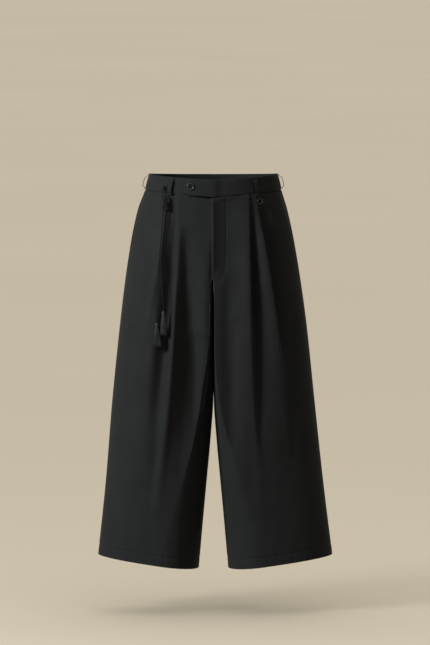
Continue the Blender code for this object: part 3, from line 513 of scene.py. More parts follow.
# %% Where the band runs
BAND_WALL = 0.0026
BAND_PROUD = 0.0008
TAB_REACH = 0.0696
TAB_RADIUS = 0.0192
TAB_STEP_START = 0.020
TAB_STEP_END = 0.001


def band_line(leg, face, share, height, moved_out):
    """Point of the band: the body without folds, moved out."""
    out_x, out_y = outward_at(leg, face, share, height)
    x, y, z = bare_outline(leg, face, share, height)
    return Vector((float(x + moved_out * out_x), float(y + moved_out * out_y), float(z)))


def band_ring(leg, face, share, moved_out):
    """Foot and rim of the band at a share of the way round."""
    return [band_line(leg, face, share, height, moved_out) for height in (WAIST_SEAM, RIM)]


def band_station(x, face, moved_out):
    """Foot and rim of the band at x from the centre, negative on the wearer's right."""
    leg = "left" if x >= 0.0 else "right"
    points = []
    for height in (WAIST_SEAM, RIM):
        across = min(abs(x) / float(outer_width(leg, height)), 1.0)
        share = math.acos(1.0 - 2.0 * across) / math.pi
        point = band_line(leg, face, share, height, moved_out)
        points.append(Vector((x, point.y, point.z)))
    return points


def band_face(x, height, moved_out):
    """Point on the outside of the band's front, and the direction square to it."""
    foot, rim = band_station(x, "front", moved_out)
    beside, _ = band_station(x - 0.004, "front", moved_out)
    outward = (beside - foot).cross((rim - foot).normalized()).normalized()
    if outward.y > 0.0:
        outward = -outward
    return foot.lerp(rim, (height - foot.z) / (rim.z - foot.z)), outward


foot, rim = band_station(0.0, "front", 0.0)
print("band is", round((rim - foot).length, 4))

# %% [markdown]
# ## The cord
#
# A doubled cord comes out of an eyelet in the band, is tied in a knot, and falls as two ends
# of different length. Such a cord is three plies of shiny yarn twisted together. A tube with
# a spiral bump would look right from afar, but the plies show in the outline too, so each
# ply is a thin tube that winds round the cord's own centre line.

# %% Route of each cord, from the eyelet through the knot to its end
CORD_RADIUS = 0.0013
CORD_CLEARANCE = 0.0012
CORD_END_GAP = 0.0008
KNOT_TOP = -0.0310
KNOT_HEIGHT = 0.0210
KNOT_X = -0.1105
EYELET_X = -0.1145
EYELET_Z = 0.0014
EYELET_RADIUS = 0.0046
EYELET_WIRE = 0.0010

CordRun = namedtuple("CordRun", "name side top_x top_z top_out x_points z_points out_points")
CORD_RUNS = (
    CordRun("long", 0.0015, (-0.1180, -0.1155), (-0.0180, KNOT_TOP + CORD_END_GAP),
            (0.0044, 0.0052),
            (-0.1150, -0.1180, -0.1215, -0.1242, -0.1272, -0.1287),
            (KNOT_TOP - KNOT_HEIGHT - CORD_END_GAP, -0.110, -0.165, -0.220, -0.275, -0.3080),
            (0.0040, 0.0044, 0.0056, 0.0060, 0.0060, 0.0064)),
    CordRun("short", -0.0015, (-0.1100, -0.1070), (-0.0180, KNOT_TOP + CORD_END_GAP),
            (0.0044, 0.0052),
            (-0.1090, -0.1143, -0.1180, -0.1172, -0.1158, -0.1140),
            (KNOT_TOP - KNOT_HEIGHT - CORD_END_GAP, -0.110, -0.165, -0.210, -0.250, -0.2800),
            (0.0040, 0.0044, 0.0064, 0.0090, 0.0130, 0.0172)),
)
Tassel = namedtuple("Tassel", "name x head_top length half_width half_depth")
TASSELS = (
    Tassel("long", -0.1272, -0.3146, 0.0570, 0.0125, 0.0052),
    Tassel("short", -0.1140, -0.2866, 0.0570, 0.0084, 0.0048),
)
CORD_INTO_HEAD = 0.0070
Exit = namedtuple("Exit", "up out")
EYELET_EXIT = (Exit(0.0, -0.0008), Exit(-0.0003, 0.0026), Exit(-0.0052, 0.0040))


def smooth_route(points, step):
    """Even points along a smooth curve through the given ones."""
    padded = [points[0] * 2.0 - points[1]] + list(points) + [points[-1] * 2.0 - points[-2]]
    fine = []
    for index in range(1, len(padded) - 2):
        before, start, end, after = padded[index - 1:index + 3]
        for share in np.linspace(0.0, 1.0, 24, endpoint=False):
            bend = (2.0 * start + (end - before) * share
                    + (2.0 * before - 5.0 * start + 4.0 * end - after) * share ** 2
                    + (3.0 * start - before - 3.0 * end + after) * share ** 3)
            fine.append(bend * 0.5)
    fine.append(points[-1])
    lengths = [0.0]
    for start, end in zip(fine, fine[1:]):
        lengths.append(lengths[-1] + (end - start).length)
    count = max(2, round(lengths[-1] / step) + 1)
    targets = np.linspace(0.0, lengths[-1], count)
    coordinates = [np.interp(targets, lengths, values) for values in zip(*fine)]
    return [Vector(values) for values in zip(*coordinates)]


def eyelet_place():
    point, outward = band_face(EYELET_X, EYELET_Z, BAND_PROUD)
    return point + outward * (EYELET_WIRE + SEAM + 0.0002), outward


def cord_route(run, step):
    """One end of the cord: out of the eyelet, through the knot and down into its tassel."""
    centre, outward = eyelet_place()
    sideways = outward.cross(Vector((0.0, 0.0, 1.0))).normalized()
    upward = sideways.cross(outward)
    route = [centre + sideways * run.side + upward * place.up + outward * place.out
             for place in EYELET_EXIT]
    for x, z, out in zip(run.top_x + run.x_points, run.top_z + run.z_points,
                         run.top_out + run.out_points):
        route.append(place_on("right", "front", x, z, out + CORD_CLEARANCE, fine=False)[0])
    route = smooth_route(route, step)
    end = route[-1]
    head_top = {tassel.name: tassel.head_top for tassel in TASSELS}[run.name]
    into_head = Vector((end.x, end.y, head_top - CORD_INTO_HEAD))
    inside = smooth_route([end, into_head], step)
    return route + inside[1:]


def length_of(route):
    return sum((end - start).length for start, end in zip(route, route[1:]))


for run in CORD_RUNS:
    print("cord", run.name, "is", round(length_of(cord_route(run, 0.004)), 3), "m long")


# %% Tubes that follow a line
def tube_frames(route):
    """Two directions square to the line at each of its points, without sudden turns."""
    tangents = [(route[min(i + 1, len(route) - 1)] - route[max(i - 1, 0)]).normalized()
                for i in range(len(route))]
    across = tangents[0].orthogonal().normalized()
    frames = []
    for tangent in tangents:
        across = (across - tangent * across.dot(tangent)).normalized()
        frames.append((across, tangent.cross(across)))
    return frames


def turned(frame_here, turn):
    """Direction at a turn round the line."""
    across, upward = frame_here
    return across * math.cos(turn) + upward * math.sin(turn)


def add_tube(builder, route, radii, sides):
    """Add a closed tube along a line; radii gives its radius at each point."""
    frames = tube_frames(route)
    uv = builder.loops.layers.uv.verify()
    rings = []
    turns = np.linspace(0.0, 2.0 * math.pi, sides, endpoint=False)
    for point, frame_here, radius in zip(route, frames, radii):
        rings.append([builder.verts.new(point + turned(frame_here, turn) * radius)
                      for turn in turns])
    run = 0.0
    round_it = 2.0 * math.pi * max(radii) / sides
    for index, (here, after) in enumerate(zip(rings, rings[1:])):
        step = (route[index + 1] - route[index]).length
        for side in range(sides):
            beside = (side + 1) % sides
            face = builder.faces.new((here[side], here[beside], after[beside], after[side]))
            face.smooth = True
            corners = ((side, 0.0), (side + 1, 0.0), (side + 1, step), (side, step))
            for loop, (u, v) in zip(face.loops, corners):
                loop[uv].uv = (u * round_it, run + v)
        run += step
    builder.faces.new(list(reversed(rings[0])))
    builder.faces.new(rings[-1])


def plies(route, pitch, count, offset):
    """Centre lines of yarns that wind round a line, one turn in each pitch."""
    frames = tube_frames(route)
    lines = [[] for _ in range(count)]
    run = 0.0
    for index, (point, frame_here) in enumerate(zip(route, frames)):
        if index:
            run += (point - route[index - 1]).length
        for number in range(count):
            turn = 2.0 * math.pi * (run / pitch + number / count)
            lines[number].append(point + turned(frame_here, turn) * offset)
    return lines


def new_piece(name, mesh):
    piece = bpy.data.objects.new(name, mesh)
    bpy.context.collection.objects.link(piece)
    return piece


def finish_mesh(name, builder):
    """Turn a bmesh into an object whose faces all point outwards."""
    bmesh.ops.recalc_face_normals(builder, faces=builder.faces[:])
    mesh = bpy.data.meshes.new(name)
    builder.to_mesh(mesh)
    builder.free()
    return new_piece(name, mesh)


print("tube helpers are ready")

# %% The two cords
# Three round plies that touch fill a circle 1 + 2 / sqrt(3) times as wide as one of them
THREE_PLIES = 2.1547
PLY_RADIUS = CORD_RADIUS / THREE_PLIES
PLY_OFFSET = CORD_RADIUS - PLY_RADIUS
CORD_PITCH = 0.0075
cords = {}
cord_paths = {}
for run in CORD_RUNS:
    path = cord_route(run, 0.0009)
    builder = bmesh.new()
    for line in plies(path, CORD_PITCH, 3, PLY_OFFSET):
        add_tube(builder, line, [PLY_RADIUS] * len(line), 6)
    cords[run.name] = finish_mesh("cord_" + run.name + "_plies", builder)
    cord_paths[run.name] = path
    print(cords[run.name].name, len(cords[run.name].data.polygons), "faces")

# %% [markdown]
# ## Panels of cloth
#
# Each leg has a front and a back panel, and the slant pockets show a strip of their side
# piece. A cloth simulation would find folds of its own, but the folds here are known, so each
# panel is a grid of points laid on the outline, thin as the cloth, with its flat pattern kept
# as the UV map. The grid is close enough for a pleat's sharp edge.


# %% From a grid of points to a thin shell
def sheet_normals(points, outward):
    """Directions square to a sheet of points, turned to the same side as outward."""
    normals = np.cross(np.gradient(points, axis=0), np.gradient(points, axis=1))
    normals = normals / np.linalg.norm(normals, axis=-1, keepdims=True)
    if np.sum(normals * outward, axis=-1).mean() < 0.0:
        normals = -normals
    return normals


def flat_pattern(points):
    """Length across from the inner edge and down from the top, at each point of a grid."""
    across = np.linalg.norm(np.diff(points, axis=1), axis=-1)
    across = np.concatenate((np.zeros((len(points), 1)), np.cumsum(across, axis=1)), axis=1)
    down = np.linalg.norm(np.diff(points, axis=0), axis=-1)
    down = np.concatenate((np.zeros((1, points.shape[1])), np.cumsum(down, axis=0)), axis=0)
    return np.stack((across, down), axis=-1)


def add_material_map(mesh, flat):
    """Keep each point's place on the flat cloth as a UV map, in metres."""
    layer = mesh.uv_layers.new(name="weave")
    corner_points = np.zeros(len(mesh.loops), dtype=int)
    mesh.loops.foreach_get("vertex_index", corner_points)
    layer.data.foreach_set("uv", flat[corner_points].astype(np.float32).ravel())


def cloth_shell(name, outside, inside, flat):
    """Closed thin shell between two grids of points."""
    rows, columns = outside.shape[:2]
    count = rows * columns
    index = np.arange(count).reshape(rows, columns)
    quads = np.stack((index[:-1, :-1], index[1:, :-1], index[1:, 1:], index[:-1, 1:]), axis=-1)
    quads = quads.reshape(-1, 4)
    border = np.concatenate((index[0, :], index[1:, -1], index[-1, -2::-1], index[-2:0:-1, 0]))
    after = np.roll(border, -1)
    rim = np.stack((border, after, after + count, border + count), axis=-1)
    faces = np.concatenate((quads, quads[:, ::-1] + count, rim))
    points = np.concatenate((outside.reshape(-1, 3), inside.reshape(-1, 3)))
    mesh = bpy.data.meshes.new(name)
    mesh.from_pydata(points.tolist(), [], faces.tolist())
    add_material_map(mesh, np.concatenate((flat.reshape(-1, 2), flat.reshape(-1, 2))))
    piece = new_piece(name, mesh)
    face_outwards(piece)
    smooth_by_angle(piece, 50.0)
    return piece


def face_outwards(piece):
    """Turn a closed shell's faces over if its volume comes out negative."""
    builder = bmesh.new()
    builder.from_mesh(piece.data)
    if builder.calc_volume(signed=True) < 0.0:
        bmesh.ops.reverse_faces(builder, faces=builder.faces[:])
        builder.to_mesh(piece.data)
    builder.free()


def smooth_by_angle(piece, degrees):
    bpy.ops.object.select_all(action="DESELECT")
    bpy.context.view_layer.objects.active = piece
    piece.select_set(True)
    bpy.ops.object.shade_smooth_by_angle(angle=math.radians(degrees))
    piece.select_set(False)


print("shell helpers are ready")


# %% Rows and columns of a panel
SEAM_ALLOWANCE = 0.0060
SEAM_ROWS_END = -0.0290
TOP_ROWS_END = -0.120
HEM_ROWS_START = HEM + 0.036
BACK_COLUMNS = 97
POCKET_COLUMNS = 22


def spread_rows():
    """Row heights: one each 5 mm, and closer at the waist seam, the pleats' tops and the hem."""
    seam = np.linspace(WAIST_SEAM + SEAM_ALLOWANCE, SEAM_ROWS_END, 12, endpoint=False)
    top = np.linspace(SEAM_ROWS_END, TOP_ROWS_END, 31, endpoint=False)
    middle = np.linspace(TOP_ROWS_END, HEM_ROWS_START, 150, endpoint=False)
    low = np.linspace(HEM_ROWS_START, HEM, 25)
    return np.concatenate((seam, top, middle, low))


def crowd(start, end, count):
    """Shares from start to end that crowd at both ends; the last one is left out."""
    even = np.arange(count) / count
    return start + (end - start) * (0.45 * even + 0.55 * (1.0 - np.cos(math.pi * even)) / 2.0)


def pocket_share(height):
    """Where the front ends: at the slanting pocket mouth, and below it at the outseam."""
    down = np.clip((WAIST_SEAM - height) / (WAIST_SEAM - POCKET_END), 0.0, 1.0)
    return POCKET_TOP_SHARE + (1.0 - POCKET_TOP_SHARE) * down


def front_columns(leg, height):
    """Column shares of a front at one height, crowded at the pleats and the pocket mouth."""
    lines = PLEAT_LINES[leg]
    first = float(share_at(leg, "front", pleat_x(lines[0], height), height))
    second = float(share_at(leg, "front", pleat_x(lines[1], height), height))
    end = float(pocket_share(height))
    return np.concatenate((crowd(0.0, first, 72), crowd(first, second, 22),
                           crowd(second, end, 34), [end]))


def keep_to_side(leg, face, points):
    """Keep a sheet on its own side; a back runs a little way under its front at the seams."""
    limit = inner_edge(leg, face, points[..., 2])
    points[..., 0] = SIGN[leg] * np.maximum(points[..., 0] * SIGN[leg], limit)
    past_seam = HALF_SEAM if face == "front" else -SEAM_UNDER
    points[..., 1] = SIGN[face] * np.maximum(points[..., 1] * SIGN[face], past_seam)


def make_panel(name, leg, face, heights, shares, moved_out=0.0):
    outside, (out_x, out_y) = outline(leg, face, shares, heights[:, None], moved_out)
    outward = np.stack((out_x, out_y, np.zeros_like(out_x)), axis=-1)
    keep_to_side(leg, face, outside)
    inside = outside - WALL * sheet_normals(outside, outward)
    keep_to_side(leg, face, inside)
    return cloth_shell(name, outside, inside, flat_pattern(outside))


print(len(spread_rows()), "rows by", len(front_columns("left", -0.3)), "columns")

# %% Fronts, backs and pocket sides
HEIGHTS = spread_rows()
panels = {}
for leg in ("left", "right"):
    shares = np.array([front_columns(leg, height) for height in HEIGHTS])
    panels["front_" + leg] = make_panel(f"front_{leg}_cloth", leg, "front", HEIGHTS, shares)
    shares = np.tile(np.linspace(0.0, 1.0, BACK_COLUMNS), (len(HEIGHTS), 1))
    panels["back_" + leg] = make_panel(f"back_{leg}_cloth", leg, "back", HEIGHTS, shares)
    high = HEIGHTS[HEIGHTS > POCKET_END - 0.010]
    shares = np.linspace(pocket_share(high) - POCKET_UNDERLAP, 1.0, POCKET_COLUMNS, axis=-1)
    panels["pocket_side_" + leg] = make_panel(f"pocket_side_{leg}_cloth", leg, "front",
                                              high, shares, -UNDER)
print({name: len(piece.data.polygons) for name, piece in panels.items()})

# %% [markdown]
# ## Waistband
#
# The band is two layers with a stiffener between them, pressed flat and turned over at the
# rim, so its edges are round and its face is a little full. It is swept as one rounded
# section round each half. The left half narrows to a round tab past the centre.


# %% Section and sweep of the band
BAND_CROWN = 0.0005
BAND_RIM_ROUND = 0.0006


def band_section(foot_out, rim_out, foot_in, rim_in):
    """Rounded loop of points round the band's section, starting at the outer foot."""
    crown = (foot_out - foot_in).normalized() * BAND_CROWN
    upward = (rim_out - foot_out).normalized() * BAND_RIM_ROUND
    turns = [(math.sin(math.pi * turn), (1.0 - math.cos(math.pi * turn)) / 2.0)
             for turn in (0.25, 0.5, 0.75)]
    return ([foot_out.lerp(rim_out, share) + crown * math.sin(math.pi * share) ** 0.5
             for share in np.linspace(0.03, 0.97, 11)]
            + [rim_out.lerp(rim_in, over) + upward * up for up, over in turns]
            + [foot_in.lerp(rim_in, share) for share in np.linspace(0.97, 0.03, 7)]
            + [foot_in.lerp(foot_out, over) for _, over in turns])


def own_side(leg, point):
    sign = SIGN[leg]
    return Vector((sign * max(point.x * sign, HALF_SEAM), point.y, point.z))


def half_band(leg):
    """Sections from the centre back round the side to the centre front."""
    last_front = 0.25 if leg == "left" else 0.0
    stations = ([("back", share) for share in np.linspace(0.0, 1.0, 60)]
                + [("front", share) for share in np.linspace(1.0, last_front, 52)[1:]])
    return [band_section(*[own_side(leg, point)
                           for moved_out in (BAND_PROUD, BAND_PROUD - BAND_WALL)
                           for point in band_ring(leg, face, share, moved_out)])
            for face, share in stations]


def tab_end():
    """Sections of the tab, which steps out over the right half and rounds off."""
    sections = []
    clearance = BAND_WALL + 2.0 * SEAM
    round_from = TAB_RADIUS - TAB_REACH
    straight = list(np.linspace(TAB_STEP_START - 0.006, round_from, 30))
    rounded = [round_from - TAB_RADIUS * math.sin(turn)
               for turn in np.linspace(0.0, 0.485 * math.pi, 18)[1:]]
    for x in straight + rounded:
        step = float(smooth_step((TAB_STEP_START - x) / (TAB_STEP_START - TAB_STEP_END)))
        keep = math.sqrt(max(0.0, 1.0 - max(0.0, (round_from - x) / TAB_RADIUS) ** 2))
        corners = []
        for moved_out in (BAND_PROUD, BAND_PROUD - BAND_WALL):
            foot, rim = band_station(x, "front", moved_out + clearance * step)
            middle = (foot + rim) / 2.0
            corners += [middle + (foot - middle) * keep, middle + (rim - middle) * keep]
        sections.append(band_section(*corners))
    return sections


def sweep(name, sections):
    """Closed piece through loops of points, with its flat pattern as the UV map."""
    points = np.array(sections)
    count, around = points.shape[:2]
    index = np.arange(count * around).reshape(count, around)
    after = np.roll(index, -1, axis=1)
    faces = np.stack((index[:-1], after[:-1], after[1:], index[1:]), axis=-1)
    faces = faces.reshape(-1, 4).tolist()
    faces += [index[0, ::-1].tolist(), index[-1].tolist()]
    mesh = bpy.data.meshes.new(name)
    mesh.from_pydata(points.reshape(-1, 3).tolist(), [], faces)
    add_material_map(mesh, flat_pattern(points)[..., ::-1].reshape(-1, 2))
    piece = new_piece(name, mesh)
    face_outwards(piece)
    smooth_by_angle(piece, 55.0)
    return piece


band = {"left": sweep("waistband_left_cloth", half_band("left") + tab_end()),
        "right": sweep("waistband_right_cloth", half_band("right"))}
print({leg: len(piece.data.polygons) for leg, piece in band.items()})

# %% [markdown]
# ## Belt loops
#
# A belt loop is a narrow strip folded in three and sewn down at both ends, so that a belt
# passes behind its middle. It is swept the same way as the band, but down instead of round.

# %% Five loops
LOOP_WIDTH = 0.010
LOOP_WALL = 0.0016
LOOP_SEAT = 0.0006
FRONT_LOOP_SHARE = 0.64
FRONT_LOOP_GAP = 0.0058
FRONT_LOOP_FOOT = 0.0024
SIDE_LOOP_GAP = 0.0072
LOOP_BELOW = 0.10
SIDE_LOOP_BELOW = 0.02


def loop_section(near, far, sideways):
    """Rounded loop of points round the strip, with edges a little thicker than its middle."""
    middle = (near + far) / 2.0
    half = (far - near) / 2.0
    loop = []
    for turn in np.linspace(0.0, 2.0 * math.pi, 20, endpoint=False):
        across, out = math.cos(turn), math.sin(turn)
        wide = math.copysign(abs(across) ** 0.45, across)
        deep = math.copysign(abs(out) ** 0.6, out) * (0.86 + 0.14 * abs(wide) ** 6)
        loop.append(middle + sideways * wide + half * deep)
    return loop


def make_loop(name, foot, rim, below, outward, gap, foot_out):
    """Strip over the band: below is its share past the foot, gap the room behind its middle."""
    start = rim + (foot - rim) * 0.04
    end = foot + (foot - rim) * below
    sideways = Vector((-outward.y, outward.x, 0.0)) * (LOOP_WIDTH / 2.0)
    sections = []
    for position in np.linspace(0.0, 1.0, 40):
        lift = float(smooth_step(math.sin(math.pi * position) * 1.5 - 0.22))
        reach = LOOP_SEAT + lift * (gap - LOOP_SEAT) + foot_out * position ** 6
        near = start.lerp(end, position) + outward * reach
        sections.append(loop_section(near, near + outward * LOOP_WALL, sideways))
    return sweep(name, sections)


loops = {}
across_share = math.acos(1.0 - 2.0 * FRONT_LOOP_SHARE) / math.pi
for leg in ("left", "right"):
    ring = band_ring(leg, "front", across_share, BAND_PROUD)
    outward = band_ring(leg, "front", across_share, 1.0)[1] - ring[1]
    outward.z = 0.0
    loops["belt_loop_front_" + leg] = make_loop(f"belt_loop_front_{leg}_cloth", *ring, LOOP_BELOW,
                                                outward.normalized(), FRONT_LOOP_GAP,
                                                FRONT_LOOP_FOOT)
    loops["belt_loop_side_" + leg] = make_loop(f"belt_loop_side_{leg}_cloth",
                                               *band_ring(leg, "back", 1.0, BAND_PROUD),
                                               SIDE_LOOP_BELOW, Vector((SIGN[leg], 0.0, 0.0)),
                                               SIDE_LOOP_GAP, 0.0)
loops["belt_loop_back"] = make_loop("belt_loop_back_cloth",
                                    *band_ring("left", "back", 0.0, BAND_PROUD), LOOP_BELOW,
                                    Vector((0.0, 1.0, 0.0)), FRONT_LOOP_GAP, 0.0)
print(sorted(loops))

# %% [markdown]
# ## Buttons
#
# Trouser buttons are turned or moulded discs with a raised rim, a dished middle and four
# holes, sewn on with a cross of thread. The disc starts as a cylinder. Its top is inset and
# pushed down for the dish, the edges are bevelled, and the holes are cut with a Boolean.

# %% Shape one button from a cylinder
Button = namedtuple("Button", "x height diameter")
WAIST_BUTTON = Button(-0.0530, 0.0046, 0.0165)
SMALL_BUTTON = Button(0.1074, -0.0305, 0.0153)
BUTTON_THICKNESS = 0.0032
BUTTON_HOLE = 0.0017
BUTTON_HOLE_SPREAD = 0.0019


def only(piece):
    """Select one piece alone and make it active."""
    bpy.ops.object.select_all(action="DESELECT")
    piece.select_set(True)
    bpy.context.view_layer.objects.active = piece


def pick_faces(piece, wanted):
    """In edit mode, select just the faces that the test accepts."""
    bpy.ops.object.mode_set(mode="EDIT")
    bpy.ops.mesh.select_mode(type="FACE")
    bpy.ops.mesh.select_all(action="DESELECT")
    builder = bmesh.from_edit_mesh(piece.data)
    for face in builder.faces:
        face.select_set(wanted(face))
    bmesh.update_edit_mesh(piece.data)


def cut_with(piece, cutter):
    """Cut one piece out of another and remove the cutter."""
    only(piece)
    cut = piece.modifiers.new("cut", "BOOLEAN")
    cut.operation = "DIFFERENCE"
    cut.solver = "EXACT"
    cut.object = cutter
    bpy.ops.object.modifier_apply(modifier=cut.name)
    bpy.data.objects.remove(cutter, do_unlink=True)


def hole_place(number):
    """Middle of one of a button's four holes."""
    angle = math.pi / 4.0 + math.pi / 2.0 * number
    return Vector((math.cos(angle), math.sin(angle), 0.0)) * BUTTON_HOLE_SPREAD


def shape_button(name, diameter):
    """Disc with a raised rim, a dished middle and four holes, lying at the origin."""
    radius = diameter / 2.0
    bpy.ops.object.select_all(action="DESELECT")
    bpy.ops.mesh.primitive_cylinder_add(vertices=64, radius=radius, depth=BUTTON_THICKNESS,
                                        location=(0.0, 0.0, BUTTON_THICKNESS / 2.0))
    button = bpy.context.object
    button.name = name
    bpy.ops.object.transform_apply(location=True)
    pick_faces(button, lambda face: face.normal.z > 0.9)
    bpy.ops.mesh.inset(thickness=radius * 0.20)
    bpy.ops.mesh.inset(thickness=radius * 0.14)
    bpy.ops.transform.translate(value=(0.0, 0.0, -BUTTON_THICKNESS * 0.40))
    bpy.ops.mesh.inset(thickness=radius * 0.30)
    bpy.ops.transform.translate(value=(0.0, 0.0, -BUTTON_THICKNESS * 0.06))
    bpy.ops.object.mode_set(mode="OBJECT")
    soften = button.modifiers.new("round_edges", "BEVEL")
    soften.width = 0.00045
    soften.segments = 3
    soften.limit_method = "ANGLE"
    soften.angle_limit = math.radians(28.0)
    only(button)
    bpy.ops.object.modifier_apply(modifier=soften.name)
    for number in range(4):
        hole = hole_place(number)
        bpy.ops.mesh.primitive_cylinder_add(vertices=20, radius=BUTTON_HOLE / 2.0, depth=0.012,
                                            location=(hole.x, hole.y, 0.002))
        cut_with(button, bpy.context.object)
    smooth_by_angle(button, 32.0)
    return button


def facing(point, outward):
    """Placement that turns a piece's +Z to the outward direction."""
    return Matrix.Translation(point) @ outward.to_track_quat("Z", "Y").to_matrix().to_4x4()


def settle(piece, placement):
    """Move a piece to its place in its own mesh, so that the object stays at the origin."""
    piece.data.transform(placement)
    piece.matrix_world = Matrix.Identity(4)
    return piece


waist_button = shape_button("waist_button_resin", WAIST_BUTTON.diameter)
small_button = shape_button("small_button_resin", SMALL_BUTTON.diameter)
print("a button has", len(waist_button.data.polygons), "faces")


# %% Where each button sits
def clear_of_cloth(leg, x, height, radius, clearance):
    """Move a disc out until it clears the cloth all over its back."""
    centre, outward = place_on(leg, "front", x, height, 0.0)
    highest = 0.0
    for across in np.linspace(-1.0, 1.0, 9):
        for upward in (-0.7, 0.0, 0.7):
            point, _ = place_on(leg, "front", x + across * radius * abs(outward.y),
                                height + upward * radius, 0.0)
            highest = max(highest, (point - centre).dot(outward))
    return centre + outward * (highest + clearance), outward


tab_face = BAND_PROUD + BAND_WALL + 2.0 * SEAM
point, outward = band_face(WAIST_BUTTON.x, WAIST_BUTTON.height, tab_face)
waist_button_place = facing(point + outward * 0.0009, outward)
point, outward = clear_of_cloth("left", SMALL_BUTTON.x, SMALL_BUTTON.height,
                                SMALL_BUTTON.diameter / 2.0, 0.0006)
small_button_place = facing(point, outward)
print("small button sits at", [round(value, 4) for value in point])


# %% Thread through the holes, and a wound shank behind
SHANK_RADIUS = 0.0011
SHANK_TOP = 0.0003


def sew_on(name, placement, reach):
    """A cross of thread over the holes, three strands each way, and the shank to the cloth."""
    builder = bmesh.new()
    level = BUTTON_THICKNESS * 0.54
    into_hole = Vector((0.0, 0.0, level - 0.0012))
    on_edge = Vector((0.0, 0.0, level + 0.0001))
    for number in range(2):
        hole, opposite = hole_place(number), hole_place(number + 2)
        side = (opposite - hole).normalized().cross(Vector((0.0, 0.0, 1.0)))
        crossing = Vector((0.0, 0.0, level + 0.00045 + 0.0003 * number))
        for strand in (-1.0, 0.0, 1.0):
            points = (hole * 1.06 + into_hole, hole * 0.86 + on_edge, crossing,
                      opposite * 0.86 + on_edge, opposite * 1.06 + into_hole)
            line = smooth_route([point + side * strand * 0.00034 for point in points], 0.0004)
            add_tube(builder, line, [0.00022] * len(line), 6)
    turns = np.linspace(0.0, 8.0 * math.pi, 72)
    coil = [Vector((SHANK_RADIUS * math.cos(turn), SHANK_RADIUS * math.sin(turn),
                    SHANK_TOP - (reach + SHANK_TOP) * turn / turns[-1])) for turn in turns]
    add_tube(builder, coil, [0.0003] * len(coil), 5)
    builder.transform(placement)
    return finish_mesh(name, builder)


settle(waist_button, waist_button_place)
settle(small_button, small_button_place)
waist_thread = sew_on("waist_button_thread", waist_button_place, 0.0007)
small_thread = sew_on("small_button_thread", small_button_place, 0.0008)
print("buttons are sewn on")

# %% [markdown]
# ## Eyelet
#
# The cord leaves the band through a small metal eyelet. A tube of sheet metal is rolled
# outwards over the cloth, which leaves a smooth ring. A torus has that shape; pressing
# it flatter and slanting its inside gives the rolled look.

# %% Roll the ring
bpy.ops.mesh.primitive_torus_add(major_radius=EYELET_RADIUS, minor_radius=EYELET_WIRE,
                                 major_segments=64, minor_segments=16)
eyelet = bpy.context.object
eyelet.name = "eyelet_rolled_steel"
pick_faces(eyelet, lambda face: face.calc_center_median().xy.length < EYELET_RADIUS)
bpy.ops.transform.resize(value=(0.97, 0.97, 0.9))
bpy.ops.object.mode_set(mode="OBJECT")
smooth_by_angle(eyelet, 60.0)
settle(eyelet, facing(*eyelet_place()))
print("eyelet is", round(eyelet.dimensions.x * 1000, 1), "mm wide")

# %% [markdown]
# ## Knots
#
# The doubled cord is tied in one overhand knot. Its wraps lie over each other, so a plain
# bulb would look poured. The wraps are wound as slanting strands that widen like a bell,
# with one flat turn round the foot. Each end has a small knot of its own above its tassel.


# %% Wind a knot
def upright(place, outward):
    """Placement with Z up and Y along the outward direction."""
    sideways = outward.cross(Vector((0.0, 0.0, 1.0))).normalized()
    turned_out = Matrix((sideways, outward, Vector((0.0, 0.0, 1.0)))).transposed().to_4x4()
    return Matrix.Translation(place) @ turned_out


Swell = namedtuple("Swell", "shares sizes")
ROUND = Swell((0.0, 0.25, 0.5, 0.75, 1.0), (0.80, 0.94, 1.0, 0.94, 0.80))
BELL = Swell((0.0, 0.3, 0.6, 0.85, 1.0), (0.20, 0.42, 0.72, 1.0, 0.96))


def wind(builder, placement, turns, wide, deep, top, low, tilt, radius, twist,
         start=0.6, shape=ROUND):
    """Add one helix of twisted yarn; wide and deep are the half sizes of its flat turns."""
    line = []
    for share in np.linspace(0.0, 1.0, max(14, int(turns * 30))):
        turn = 2.0 * math.pi * turns * share + start
        bulge = float(np.interp(share, shape.shares, shape.sizes))
        height = top + (low - top) * share + tilt * math.cos(turn)
        line.append(placement @ Vector((wide * bulge * math.cos(turn),
                                    deep * bulge * math.sin(turn), height)))
    route = smooth_route(line, 0.0006)
    ply = radius / THREE_PLIES
    for yarn in plies(route, twist, 3, radius - ply):
        add_tube(builder, yarn, [ply] * len(yarn), 5)


def make_core(builder, placement, wide, deep, top, low, shape=ROUND):
    """A plain core that fills the inside of the wraps."""
    shares = np.linspace(0.0, 1.0, 9)
    sizes = np.interp(shares, shape.shares, shape.sizes)
    line = [placement @ Vector((0.0, 0.0, top + (low - top) * share)) for share in shares]
    add_tube(builder, line, [deep * size for size in sizes], 10)
    side = placement.to_3x3() @ Vector((wide - deep, 0.0, 0.0))
    for way in (-1.0, 1.0):
        beside = [point + side * way * size for point, size in zip(line, sizes)]
        add_tube(builder, beside, [deep * 0.9 * size for size in sizes], 10)


print("knot helpers are ready")


# %% The main knot, a bell of slanting wraps with one turn round its foot
KNOT_NECK = 0.0140
KNOT_OUT = 0.0066
KNOT_TWIST = 0.0060
half = KNOT_HEIGHT / 2.0
knot_place = upright(*place_on("right", "front", KNOT_X, KNOT_TOP - half, KNOT_OUT, fine=False))
builder = bmesh.new()
make_core(builder, knot_place, 0.0062, 0.0026, half + KNOT_NECK, -half + 0.0008, BELL)
for number in range(6):
    wind(builder, knot_place, 0.42, 0.0070, 0.0032, half + KNOT_NECK - 0.0010, -half + 0.0014,
         0.0, 0.00165, KNOT_TWIST, start=number * math.pi / 3.0, shape=BELL)
wind(builder, knot_place, 1.4, 0.0082, 0.0036, -half + 0.0048, -half + 0.0020, 0.0010, 0.00145,
     KNOT_TWIST)
main_knot = finish_mesh("main_knot_cord", builder)
print("main knot", len(main_knot.data.polygons), "faces")

